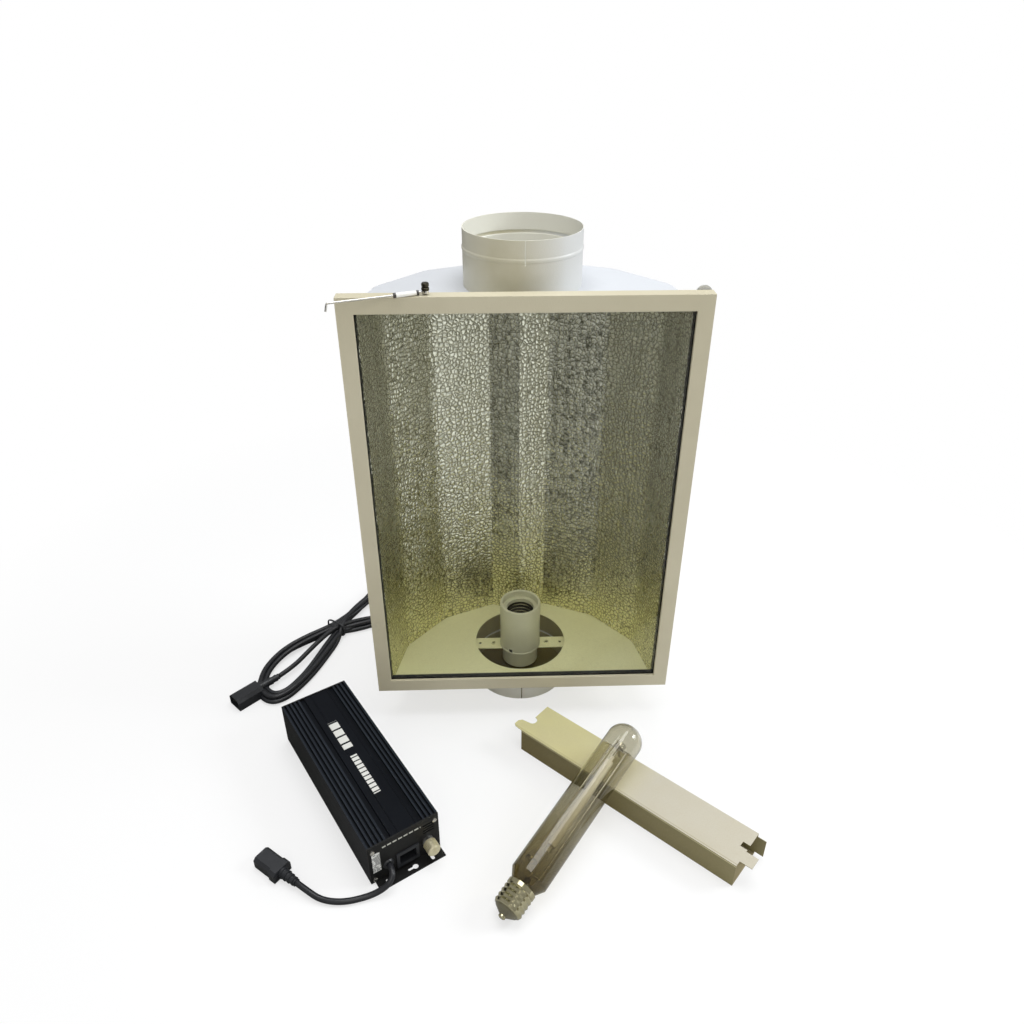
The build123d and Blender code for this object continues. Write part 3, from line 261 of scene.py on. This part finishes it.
def cord_curve(name, points, finish):
    """A round cord: a smooth NURBS line over these control points, in metres."""
    curve = bpy.data.curves.new(name, "CURVE")
    curve.dimensions = "3D"
    line = curve.splines.new("NURBS")
    line.points.add(len(points) - 1)
    line.points.foreach_set("co", np.c_[np.array(points), np.ones(len(points))].ravel())
    line.order_u = 3
    line.use_endpoint_u = True
    curve.resolution_u = 6
    curve.bevel_depth = CORD / 2
    curve.bevel_resolution = 4
    curve.use_fill_caps = True
    curve.materials.append(finish.material)
    piece = bpy.data.objects.new(name, curve)
    scene.collection.objects.link(piece)
    return piece


lead_route = [(0, .118, .038), (0, .156, .038), (-.012, .206, .016), (-.055, .258, .0044),
              (-.122, .280, .0044), (-.180, .266, .006), (-.214, .236, .013)]
# Each turn of the hank: out to the front lobe and round it, back through the tie, round the rear
# lobe and through the tie again. Every turn is a little narrower or higher than the last.
TIE = np.array([-.3200, .0950])
front_lobe = np.array([(-.316, .070), (-.331, .022), (-.345, -.016), (-.361, -.046), (-.377, -.068),
                       (-.398, -.077), (-.418, -.064), (-.428, -.038), (-.427, -.006), (-.415, .026),
                       (-.396, .053), (-.366, .077)])
rear_lobe = np.array([(-.310, .126), (-.286, .168), (-.270, .206), (-.252, .228), (-.232, .236),
                      (-.211, .228), (-.196, .205), (-.193, .176), (-.203, .148), (-.228, .126),
                      (-.262, .108), (-.290, .098)])
FRONT_MIDDLE, REAR_MIDDLE = np.array([-.392, -.010]), np.array([-.232, .180])
TURNS = [(1.00, .0046, 0.0), (0.86, .0050, .002), (0.93, .0128, -.003), (0.74, .0064, .003)]
across = np.array([math.cos(math.radians(-33)), math.sin(math.radians(-33))])
hank_points = [(-.262, .188, .0212), (-.300, .130, .0210)]
for k, (width, height, drift) in enumerate(TURNS):
    lay = np.linspace(0, 1, len(front_lobe))
    lift = height + .0022 * math.sin(2.1 * k)
    front = FRONT_MIDDLE + (front_lobe - FRONT_MIDDLE) * np.c_[
        np.full(len(lay), width + drift), np.full(len(lay), width - drift)]
    near_tie = np.clip(np.abs(lay - .5) * 2, 0, 1) ** 3
    slot_in = TIE + across * (.0118 - .0075 * (k % 2))
    slot_out = TIE - across * (.0118 - .0075 * (k % 2))
    slot_z = .0046 + .0080 * (k // 2)
    pull = near_tie[:, None] * 0.55
    gate = np.where(lay[:, None] < .5, slot_in, slot_out)
    front = front * (1 - pull * .45) + (gate + (front_lobe - TIE) * .75) * pull * .45
    rise = np.maximum(LYING, lift * (1 - near_tie) + slot_z * near_tie)
    hank_points += [(*slot_in, .0205 if k == 0 else slot_z)]
    hank_points += [(x, y, z) for (x, y), z in zip(front, rise)]
    hank_points += [(*slot_out, slot_z)]
    rear = REAR_MIDDLE + (rear_lobe - REAR_MIDDLE) * (width + .02 * (k % 2))
    rise = np.maximum(LYING, (lift + .001) * (1 - near_tie) + slot_z * near_tie)
    hank_points += [(x, y, z) for (x, y), z in zip(rear, rise)]
hank_points += [(*(TIE + across * .0045), .0205), (-.340, .060, .0190), (-.358, .032, .0150),
                (-.3770, .0000, .0112), (-.3964, -.0213, .0103)]
hood_cord = cord_curve("hood_cord", lead_route + hank_points, cord_finish)


def line_of(curve_object):
    """The points that a cord's own line passes through, read from its spline."""
    bare = curve_object.data.copy()
    bare.bevel_depth = 0
    holder = bpy.data.objects.new("line", bare)
    mesh = bpy.data.meshes.new_from_object(holder)
    points = np.empty(len(mesh.vertices) * 3)
    mesh.vertices.foreach_get("co", points)
    bpy.data.objects.remove(holder)
    return points.reshape(-1, 3)


def length_of(curve_object):
    """The sum of the steps between the points of a cord's own line."""
    return float(np.linalg.norm(np.diff(line_of(curve_object), axis=0), axis=1).sum())


hood_length = length_of(hood_cord)
print("hood cord length", round(hood_length, 3))
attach(hood_cord, "hood")
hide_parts("hood_lead", "lead_hank")

# ---------------------------------------------------------------- ballast's output lead
# A short stub of the same cord between the ballast's grommet and its moulded connector. It drops
# to the floor beside the ballast and lies there in one bend.
out_route = [(-.1807, -.3866, .024), (-.1749, -.3960, .024), (-.1786, -.4066, .0172),
             (-.1890, -.4115, .0098), (-.2060, -.4165, .0044), (-.2360, -.4235, .0044),
             (-.2640, -.4195, .0044), (-.2840, -.4080, .0090), (-.2980, -.3975, .0090)]
out_cord = cord_curve("output_cord", out_route, cord_finish)
out_length = length_of(out_cord)
print("output cord length", round(out_length, 3))
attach(out_cord, "ballast")
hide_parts("output_lead")


# ---------------------------------------------------------------- tie round the hank
# A plastic-covered wire, wrapped twice round the strands where the hank crosses itself. It holds
# them together and rides with the hood.
def tube_along(name, path, radius, finish, sides=10):
    """A round tube: a circle of this radius carried along the path in its own turning frame."""
    path = np.asarray(path, float)
    heading = np.gradient(path, axis=0)
    heading /= np.linalg.norm(heading, axis=1)[:, None]
    flat = np.cross(heading, (0.31, 0.17, 0.93))
    flat /= np.linalg.norm(flat, axis=1)[:, None]
    up = np.cross(heading, flat)
    turn = np.linspace(0, 2 * np.pi, sides, endpoint=False)
    ring = np.cos(turn)[None, :, None] * flat[:, None] + np.sin(turn)[None, :, None] * up[:, None]
    points = path[:, None] + radius * ring
    count = len(path)
    row, col = np.meshgrid(np.arange(count - 1), np.arange(sides), indexing="ij")
    right = (col + 1) % sides
    faces = np.stack([row * sides + col, row * sides + right, (row + 1) * sides + right,
                      (row + 1) * sides + col], axis=-1).reshape(-1, 4)
    caps = [list(range(sides)), list(range((count - 1) * sides, count * sides))[::-1]]
    mesh = bpy.data.meshes.new(name)
    mesh.from_pydata(points.reshape(-1, 3).tolist(), [], faces.tolist() + caps)
    mesh.materials.append(finish.material)
    mesh.shade_smooth()
    piece = bpy.data.objects.new(name, mesh)
    scene.collection.objects.link(piece)
    return piece


TIE_POINTS = 90
tie_finish = Finish("tie_plastic", Roughness=0.42)
plastic_tone = tie_finish.grain(300.0)
tie_finish.colour(tie_finish.blend(plastic_tone, (0.010, 0.011, 0.013), (0.03, 0.032, 0.036)))
tie_finish.bump(tie_finish.grain(700.0), 0.0001)
turn = np.linspace(-0.5 * np.pi, 3.5 * np.pi, TIE_POINTS)
wrap_x = .0185 * np.sign(np.cos(turn)) * np.abs(np.cos(turn)) ** .55
wrap_z = .0135 + .0125 * np.sign(np.sin(turn)) * np.abs(np.sin(turn)) ** .55
along = np.array([-across[1], across[0]])
lay = np.linspace(-.0012, .0012, TIE_POINTS)
wrap = np.c_[TIE[0] + across[0] * wrap_x + along[0] * lay,
             TIE[1] + across[1] * wrap_x + along[1] * lay, wrap_z]
tie = tube_along("hank_twist_tie", wrap, .0011, tie_finish)
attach(tie, "hood")
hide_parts("hank_tie")

# ---------------------------------------------------------------- painted housing
# Bent steel sheet with a cream polyester powder coat, riveted to two flanged end panels. The same
# coat covers the duct collars, the front frame and the door's rails.
def coat(finish, *names):
    """Gives these CAD nodes this finish."""
    for name in names:
        slots = node[name].data.materials
        slots.clear()
        slots.append(finish.material)


def powder_skin(finish, least):
    """The coat's uneven gloss, no smoother than least, and its fine orange peel."""
    finish.rough(least + finish.grain(40.0) * 0.16)
    finish.bump(finish.grain(650.0, 3.0), 0.00018)


paint = Finish("cream_powder_coat", IOR=1.5)
cloud = paint.grain(5.0)
dust = paint.grain(70.0, 6.0, 0.7)
# Faces turned upwards are blended to a pale neutral: painted light where the overhead light falls.
painted_top_light = paint.axis("Z", paint.facing()).between(.3, .9)
base_paint = paint.blend(cloud.between(.3, .7), (0.53, 0.49, 0.36), (0.60, 0.56, 0.43))
base_paint = paint.blend(dust.between(.55, .8) * 0.25, base_paint, (0.45, 0.41, 0.28))
paint.colour(paint.blend(painted_top_light, base_paint, (0.60, 0.62, 0.65)))
powder_skin(paint, 0.34)
coat(paint, "housing_shell", "upper_end_panel", "front_frame")

# The upper collar and the corner lug are a shade whiter, with painted light where the collar
# turns towards its right side. It is also a little paler towards its left edge and inside the mouth.
collar_paint = Finish("collar_powder_coat", IOR=1.5)
cloud = collar_paint.grain(9.0, 5.0)
across_collar = collar_paint.axis("X")
warm = collar_paint.blend(cloud.between(.35, .65), (0.50, 0.465, 0.32), (0.60, 0.57, 0.44))
cream_and_painted_light = collar_paint.blend(across_collar.between(-.01, .05), warm, (0.63, 0.635, 0.625))
cream_and_painted_light = collar_paint.blend(across_collar.between(-.04, -.072) * 0.5, cream_and_painted_light, (0.66, 0.65, 0.58))
reach_y = collar_paint.axis("Y")
inside_mouth = (across_collar * across_collar + reach_y * reach_y) < COLLAR_BORE ** 2
cream_and_painted_light = collar_paint.blend(inside_mouth, cream_and_painted_light, (0.78, 0.77, 0.69))
collar_paint.colour(cream_and_painted_light)
powder_skin(collar_paint, 0.32)
coat(collar_paint, "upper_collar", "corner_lug")

# The lower collar is whiter again outside, with painted shade inside its bore.
spigot_paint = Finish("spigot_powder_coat", IOR=1.5)
cloud = spigot_paint.grain(9.0, 5.0)
spigot_x, spigot_y = spigot_paint.axis("X"), spigot_paint.axis("Y")
painted_shade_within = (spigot_x * spigot_x + spigot_y * spigot_y) < COLLAR_BORE ** 2
outer_coat = spigot_paint.blend(cloud.between(.35, .65), (0.66, 0.65, 0.58), (0.74, 0.73, 0.67))
spigot_paint.colour(spigot_paint.blend(painted_shade_within, outer_coat, (0.34, 0.30, 0.16)))
powder_skin(spigot_paint, 0.32)
coat(spigot_paint, "lower_collar")

# The lower end panel and the strap get a brighter, yellower copy of the coat: painted light for the
# light inside the hood behind the glass.
painted_light_coat = Finish("painted_light_powder_coat", IOR=1.5)
cloud = painted_light_coat.grain(6.0)
speck = painted_light_coat.grain(300.0, 5.0, 0.7)
base_paint = painted_light_coat.blend(cloud.between(.3, .7), (0.76, 0.73, 0.42), (0.84, 0.81, 0.50))
painted_light_coat.colour(painted_light_coat.blend(speck.between(.5, .8) * 0.3, base_paint, (0.44, 0.40, 0.18)))
painted_light_coat.rough(0.38 + speck * 0.16)
painted_light_coat.bump(painted_light_coat.grain(650.0, 3.0), 0.00018)
coat(painted_light_coat, "lower_end_panel", "lampholder_strap")

# The door's rails carry small scuffs.
rail_paint = Finish("rail_powder_coat", IOR=1.5)
cloud = rail_paint.grain(7.0)
scuff = rail_paint.grain(24.0, 8.0, 0.75)
base_paint = rail_paint.blend(cloud.between(.3, .7), (0.53, 0.485, 0.345), (0.60, 0.555, 0.41))
rail_paint.colour(rail_paint.blend(scuff.between(.62, .72) * 0.4, base_paint, (0.44, 0.40, 0.29)))
rail_paint.rough(0.30 + scuff * 0.22)
rail_paint.bump(rail_paint.grain(620.0, 3.0), 0.00022)
coat(rail_paint, "door_rail_bottom", "door_rail_top", "door_rail_left", "door_rail_right")

# ---------------------------------------------------------------- plated small parts
# Zinc-plated steel: rivets, hanging lugs, hinge leaves and pins, and the dimmer's bush and nut. The
# latch wire, the screws, the plug's pins and the lamp's frame are nickel-plated.
zinc = Finish("zinc_plate", Metallic=1.0)
spangle = zinc.node("ShaderNodeTexVoronoi", {}, {"Vector": zinc.place(), "Scale": 260.0}, "Color")
tone = zinc.axis("X", spangle)
zinc.colour(zinc.blend(tone, (0.44, 0.44, 0.42), (0.62, 0.62, 0.59)))
zinc.rough(0.28 + tone * 0.2)
zinc.bump(zinc.grain(500.0), 0.0001)
coat(zinc, "blind_rivets", "hanging_lugs", "housing_hinge_leaves", "hinge_pins", "door_hinge_leaves",
     "dimmer_control")

nickel = Finish("nickel_plate", Metallic=1.0)
swirl = nickel.grain(300.0, 6.0)
nickel.colour(nickel.blend(swirl, (0.56, 0.54, 0.49), (0.72, 0.70, 0.65)))
nickel.rough(0.14 + swirl * 0.18)
nickel.bump(nickel.grain(900.0), 0.00004)
coat(nickel, "latch_wire", "lampholder_screws", "lead_plug_pins", "end_plate_screws",
     "lamp_frame", "lamp_getter")

# The latch's screw is blackened steel.
black_screw = Finish("black_screw", Metallic=0.9)
blueing = black_screw.grain(500.0, 4.0)
black_screw.colour(black_screw.blend(blueing, (0.02, 0.018, 0.014), (0.10, 0.09, 0.06)))
black_screw.rough(0.24 + blueing * 0.2)
black_screw.bump(blueing, 0.00008)
coat(black_screw, "latch_screw")

# ---------------------------------------------------------------- reflector
# Thin aluminium with a rolled hammer pattern, in two curved sheets and a raised vee strip between
# them. The dimples scatter the lamp's image.
hammered = Finish("hammered_aluminium", Metallic=1.0)
edge = hammered.node("ShaderNodeTexVoronoi", {"feature": "DISTANCE_TO_EDGE"},
                     {"Vector": hammered.place(), "Scale": 160.0, "Randomness": 0.8}, "Distance")
dimple_edge_shade = edge.between(0.0, .13)
tarnish = hammered.grain(30.0, 5.0)
low = 1.0 - hammered.axis("Z").between(.07, .30)
bright = hammered.blend(tarnish.between(.3, .7), (0.76, 0.745, 0.64), (0.88, 0.87, 0.78))
bright = hammered.blend(low, bright, (0.88, 0.86, 0.60))
# The dimples' edges are painted dark: painted shade along the creases between them.
hammered.colour(hammered.blend(dimple_edge_shade, (0.30, 0.285, 0.20), bright))
hammered.rough(0.20 + tarnish * 0.12)
hammered.bump(edge.between(0.0, .40), 0.0007)
coat(hammered, "reflector_left", "reflector_right", "reflector_spine")

# ---------------------------------------------------------------- seals
# Closed-cell foam round the housing's front, and a black silicone channel round the pane.
foam = Finish("black_foam", Roughness=0.85)
cells = foam.grain(900.0, 2.0)
foam.colour(foam.blend(cells, (0.008, 0.008, 0.009), (0.028, 0.028, 0.030)))
foam.bump(cells, 0.0004)
coat(foam, "door_seal")
silicone = Finish("black_silicone", IOR=1.42)
bloom = silicone.grain(90.0)
silicone.colour(silicone.blend(bloom, (0.007, 0.007, 0.008), (0.022, 0.022, 0.024)))
silicone.rough(0.34 + bloom * 0.2)
silicone.bump(silicone.grain(400.0), 0.0001)
coat(silicone, "glazing_seal")


# ---------------------------------------------------------------- door glass
# One pane of clear tempered soda-lime glass, four millimetres thick and faintly green, held in the
# door's rails by the silicone channel.
def clear_glass(name, tint, smear, ior):
    """Clear glass that lets the lamps' light pass, with a slight smear in its gloss."""
    glass = Finish(name, Base_Color=tint, Transmission_Weight=1.0, IOR=ior)
    glass.rough(glass.grain(smear, 3.0).between(.45, 1.0) * 0.05)
    passing = glass.tree.nodes.new("ShaderNodeLightPath")
    open_way = glass.tree.nodes.new("ShaderNodeBsdfTransparent")
    open_way.inputs[0].default_value = (*tint, 1.0)
    either = glass.tree.nodes.new("ShaderNodeMixShader")
    glass.tree.links.new(passing.outputs["Is Shadow Ray"], either.inputs[0])
    glass.tree.links.new(glass.shader.outputs[0], either.inputs[1])
    glass.tree.links.new(open_way.outputs[0], either.inputs[2])
    glass.tree.links.new(either.outputs[0], glass.end.inputs["Surface"])
    return glass


coat(clear_glass("tempered_pane", (0.96, 0.975, 0.95), 4.0, 1.2), "door_glass")

# ---------------------------------------------------------------- latch grip
# A white plastic sleeve on the spring wire, with a dark ring at each end.
grip_white = Finish("grip_plastic", IOR=1.5)
worn = grip_white.grain(120.0)
WIRE_TURN = math.radians(200.0)
far = grip_white.axis("X", grip_white.own_place((-.116, -.1), WIRE_TURN))
ends = (far < .011) + (far > .035)
body_colour = grip_white.blend(worn, (0.80, 0.79, 0.74), (0.88, 0.87, 0.83))
grip_white.colour(grip_white.blend(ends.maths("MINIMUM", 1.0), body_colour, (0.05, 0.045, 0.04)))
grip_white.rough(0.35 + worn * 0.15)
grip_white.bump(grip_white.grain(600.0), 0.00008)
coat(grip_white, "latch_grip")

# ---------------------------------------------------------------- lampholder
# Glazed porcelain body and base on the strap, with the nickel-plated screw shell inside.
porcelain = Finish("glazed_porcelain", IOR=1.55, Coat_Weight=0.3, Coat_Roughness=0.12)
fire = porcelain.grain(30.0)
specks = porcelain.grain(1100.0, 2.0)
glaze = porcelain.blend(fire, (0.55, 0.53, 0.36), (0.68, 0.66, 0.48))
glaze = porcelain.blend(specks.between(.66, .80) * 0.6, glaze, (0.30, 0.25, 0.13))
# The terminal's slot low on the left side has painted shade inside.
holder_x, holder_y = porcelain.axis("X"), porcelain.axis("Y")
holder_z = porcelain.axis("Z")
SLOT_REACH = .0317
slot_painted_shade = holder_x.inside(-.0187, -.0133) * holder_z.inside(.0568, .0632)
slot_painted_shade = slot_painted_shade * (holder_x * holder_x + holder_y * holder_y < SLOT_REACH ** 2)
porcelain.colour(porcelain.blend(slot_painted_shade, glaze, (0.03, 0.024, 0.012)))
porcelain.rough(0.26 + fire * 0.12)
porcelain.bump(porcelain.grain(55.0), 0.0003)
coat(porcelain, "lampholder_body", "lampholder_base")

# The screw shell and the contact inside are plated, and dark between the turns of the thread.
THREAD_PITCH = .00635
shell_metal = Finish("socket_nickel", Metallic=1.0)
oxide = shell_metal.grain(260.0, 5.0)
thread = (shell_metal.axis("Z") * (2 / THREAD_PITCH)).maths("PINGPONG", 1.0).between(.35, .65)
plated = shell_metal.blend(oxide, (0.80, 0.76, 0.60), (0.95, 0.92, 0.80))
shell_metal.colour(shell_metal.blend(thread, (0.05, 0.042, 0.022), plated))
shell_metal.rough(0.16 + oxide * 0.16)
shell_metal.bump(oxide, 0.00005)
coat(shell_metal, "socket_contacts")

# ---------------------------------------------------------------- black mouldings
# Satin black plastic with a spark-eroded texture: the gland, the plug, the connector, the mains
# inlet and the grommet.
moulded = Finish("black_moulding", IOR=1.5)
eroded = moulded.grain(1300.0, 2.0)
handled = moulded.grain(50.0)
moulded.colour(moulded.blend(handled, (0.008, 0.009, 0.011), (0.024, 0.026, 0.030)))
moulded.rough(0.30 + handled * 0.2)
moulded.bump(eroded, 0.00012)
coat(moulded, "cable_gland", "lead_plug", "output_connector", "mains_inlet", "output_grommet")

# ---------------------------------------------------------------- ballast case
# Black anodised aluminium extrusion. Fine die lines run along it, and a faint blue bloom shows
# where it catches the light.
BALLAST_TURN = math.radians(58.0)
BALLAST_MIDDLE = (-.23875, -.2485)
anodised = Finish("black_anodising", IOR=1.18)
lengthways = anodised.place(turn=BALLAST_TURN, stretch=(6, 900, 900))
die = anodised.grain(1.0, 3.0, 0.6, at=lengthways)
bloom = anodised.grain(14.0)
on_case = anodised.own_place(BALLAST_MIDDLE, -BALLAST_TURN)
case_x, case_y = anodised.axis("X", on_case), anodised.axis("Y", on_case)
case_z = anodised.axis("Z")
black = anodised.blend(bloom, (0.0028, 0.0036, 0.0054), (0.0068, 0.0084, 0.0120))
# The tops of the ribs carry a painted highlight, a little paler.
painted_rib_highlight = (case_z > .0695) * (case_y.maths("ABSOLUTE") > .019)
black_with_rib_highlight = anodised.blend(painted_rib_highlight * die.between(.2, .8), black, (0.030, 0.036, 0.046))
# Two rows of plain white dashes are printed on the centre band: narrow ones, then wide ones.
narrow_row = case_x.inside(-.003, .073) * case_y.inside(-.0048, .0048)
narrow_row = narrow_row * ((case_x * 130.0).maths("FRACT") > .25)
wide_row = case_x.inside(-.076, -.018) * case_y.inside(-.0068, .0068)
wide_row = wide_row * ((case_x * 66.0).maths("FRACT") > .2)
print_on = (narrow_row + wide_row) * (case_z > .06)
anodised.colour(anodised.blend(print_on, black_with_rib_highlight, (0.72, 0.72, 0.68)))
anodised.rough(0.30 + die * 0.22)
anodised.bump(die, 0.0001)
coat(anodised, "ballast_case")

plate_coat = Finish("plate_coat", IOR=1.35)
mottle = plate_coat.grain(420.0, 4.0)
pitch_black = plate_coat.blend(mottle, (0.003, 0.003, 0.003), (0.010, 0.010, 0.009))
# A row of plain dashes runs along the top of the control end.
on_plate = plate_coat.own_place(BALLAST_MIDDLE, -BALLAST_TURN)
plate_x, plate_y = plate_coat.axis("X", on_plate), plate_coat.axis("Y", on_plate)
plate_z = plate_coat.axis("Z", on_plate)
dashes = ((plate_y * 130.0).maths("FRACT") < .72) * (plate_x > .14)
dashes = dashes * plate_y.inside(-.030, .024) * plate_z.inside(.0592, .0617)
plate_coat.colour(plate_coat.blend(dashes, pitch_black, (0.50, 0.50, 0.44)))
plate_coat.rough(0.40 + mottle * 0.2)
plate_coat.bump(mottle, 0.00015)
coat(plate_coat, "ballast_front_plate", "ballast_rear_plate", "ballast_mounting_plate")

# The rating plate is printed foil: plain rows of bars in place of words.
foil = Finish("rating_foil", Roughness=0.35)
row = (foil.axis("Z") * 420.0).maths("FRACT")
patch = foil.grain(260.0, 1.0)
ink = (row > 0.45) * (patch > 0.47)
foil.colour(foil.blend(ink, (0.66, 0.66, 0.63), (0.03, 0.03, 0.035)))
foil.bump(foil.grain(300.0), 0.00005)
coat(foil, "rating_plate")

# The circuit board inside: green laminate, with the choke and the cans on it in one dark blue.
board = Finish("board_laminate", Roughness=0.5)
level = board.axis("Z")
copper = board.grain(240.0)
laminate = board.blend(copper.between(.45, .55), (0.02, 0.12, 0.05), (0.04, 0.20, 0.09))
board.colour(board.blend(level > .0187, laminate, (0.03, 0.035, 0.06)))
board.bump(copper, 0.0003)
coat(board, "ballast_circuit_board")

# ---------------------------------------------------------------- dimmer knob
# Turned brass-coloured metal with a knurled side and a pointer line across its face, pressed on
# the control's shaft.
knob = Finish("turned_brass", Metallic=0.7)
ring_marks = knob.grain(420.0, 5.0)
knob.colour(knob.blend(ring_marks, (0.66, 0.60, 0.38), (0.86, 0.80, 0.58)))
knob.rough(0.22 + ring_marks * 0.2)
knob.bump(ring_marks, 0.0001)
coat(knob, "dimmer_knob", "dimmer_shaft")

# ---------------------------------------------------------------- card sleeve
# Carton board folded into an open-ended tube, yellower at one end and greyer at the other,
# brown inside and rubbed at the folds, with painted shade on its side faces.
card = Finish("carton_board", IOR=1.4)
CARD_TURN = math.radians(-42.1)
on_card = card.own_place((-.005, -.180), CARD_TURN)
card_x, card_y = card.axis("X", on_card), card.axis("Y", on_card)
card_z = card.axis("Z", on_card)
fibre = card.grain(500.0, 6.0, 0.7)
sheet = card.grain(14.0, 5.0)
# The side faces are painted darker than the top: painted shade.
painted_side_shade = 1.0 - card.axis("Z", card.facing()).maths("ABSOLUTE").between(.3, .7)
top_tone = card.blend(card_x.between(.07, .20), (0.64, 0.60, 0.30), (0.57, 0.535, 0.44))
top_tone = card.blend(sheet.between(.35, .7) * 0.35, top_tone, (0.50, 0.44, 0.30))
fold_line = card_y.inside(.0022, .0034)
top_tone = card.blend(fold_line * 0.5, top_tone, (0.30, 0.26, 0.12))
side_line = card_z.inside(.0372, .0386)
shaded_side_tone = card.blend(card_x.between(.0, .34), (0.15, 0.12, 0.04), (0.22, 0.19, 0.085))
shaded_side_tone = card.blend(side_line, shaded_side_tone, (0.56, 0.52, 0.30))
board_tone = card.blend(painted_side_shade, top_tone, shaded_side_tone)
inner_ply = card_y.inside(.0012, .0608) * (card_z < .0385)
board_tone = card.blend(inner_ply, board_tone, (0.40, 0.34, 0.20))
card.colour(card.blend(fibre.between(.45, .8) * 0.25, board_tone, (0.40, 0.34, 0.20)))
card.rough(0.46 + fibre * 0.2)
card.bump(fibre + sheet * 2.0, 0.00022)
coat(card, "card_sleeve")

# ---------------------------------------------------------------- lamp
# A tubular clear hard-glass bulb on a nickel-plated screw cap, with a translucent ceramic arc tube
# held on its axis by a wire frame.
bulb_glass = clear_glass("bulb_glass", (0.80, 0.78, 0.70), 12.0, 1.46)
# Its brown tint is a painted reflection, darkest towards the cap: painted shade seen through the
# glass.
rise = bulb_glass.axis("X") * 0.629 + bulb_glass.axis("Y") * 0.777
painted_shade_towards_cap = rise.between(-.35, -.17)
bulb_glass.colour(bulb_glass.blend(painted_shade_towards_cap, (0.27, 0.225, 0.105), (0.72, 0.70, 0.61)))
coat(bulb_glass, "lamp_envelope", "lamp_stem")
cap_metal = Finish("cap_plating", Metallic=1.0)
handled = cap_metal.grain(150.0, 6.0)
cap_metal.colour(cap_metal.blend(handled, (0.30, 0.27, 0.15), (0.60, 0.56, 0.38)))
cap_metal.rough(0.08 + handled * 0.14)
cap_metal.bump(cap_metal.grain(700.0), 0.00005)
coat(cap_metal, "lamp_cap", "lamp_contact")
arc = Finish("arc_ceramic", IOR=1.6)
cloudy = arc.grain(140.0)
arc.colour(arc.blend(cloudy, (0.66, 0.62, 0.52), (0.78, 0.74, 0.65)))
arc.rough(0.25 + cloudy * 0.15)
arc.bump(cloudy, 0.0001)
coat(arc, "arc_tube")
vitrite = Finish("brown_vitrite", IOR=1.6)
fired = vitrite.grain(90.0)
vitrite.colour(vitrite.blend(fired, (0.060, 0.052, 0.026), (0.16, 0.145, 0.08)))
vitrite.rough(0.08 + fired * 0.15)
vitrite.bump(fired, 0.0002)
coat(vitrite, "lamp_insulator")
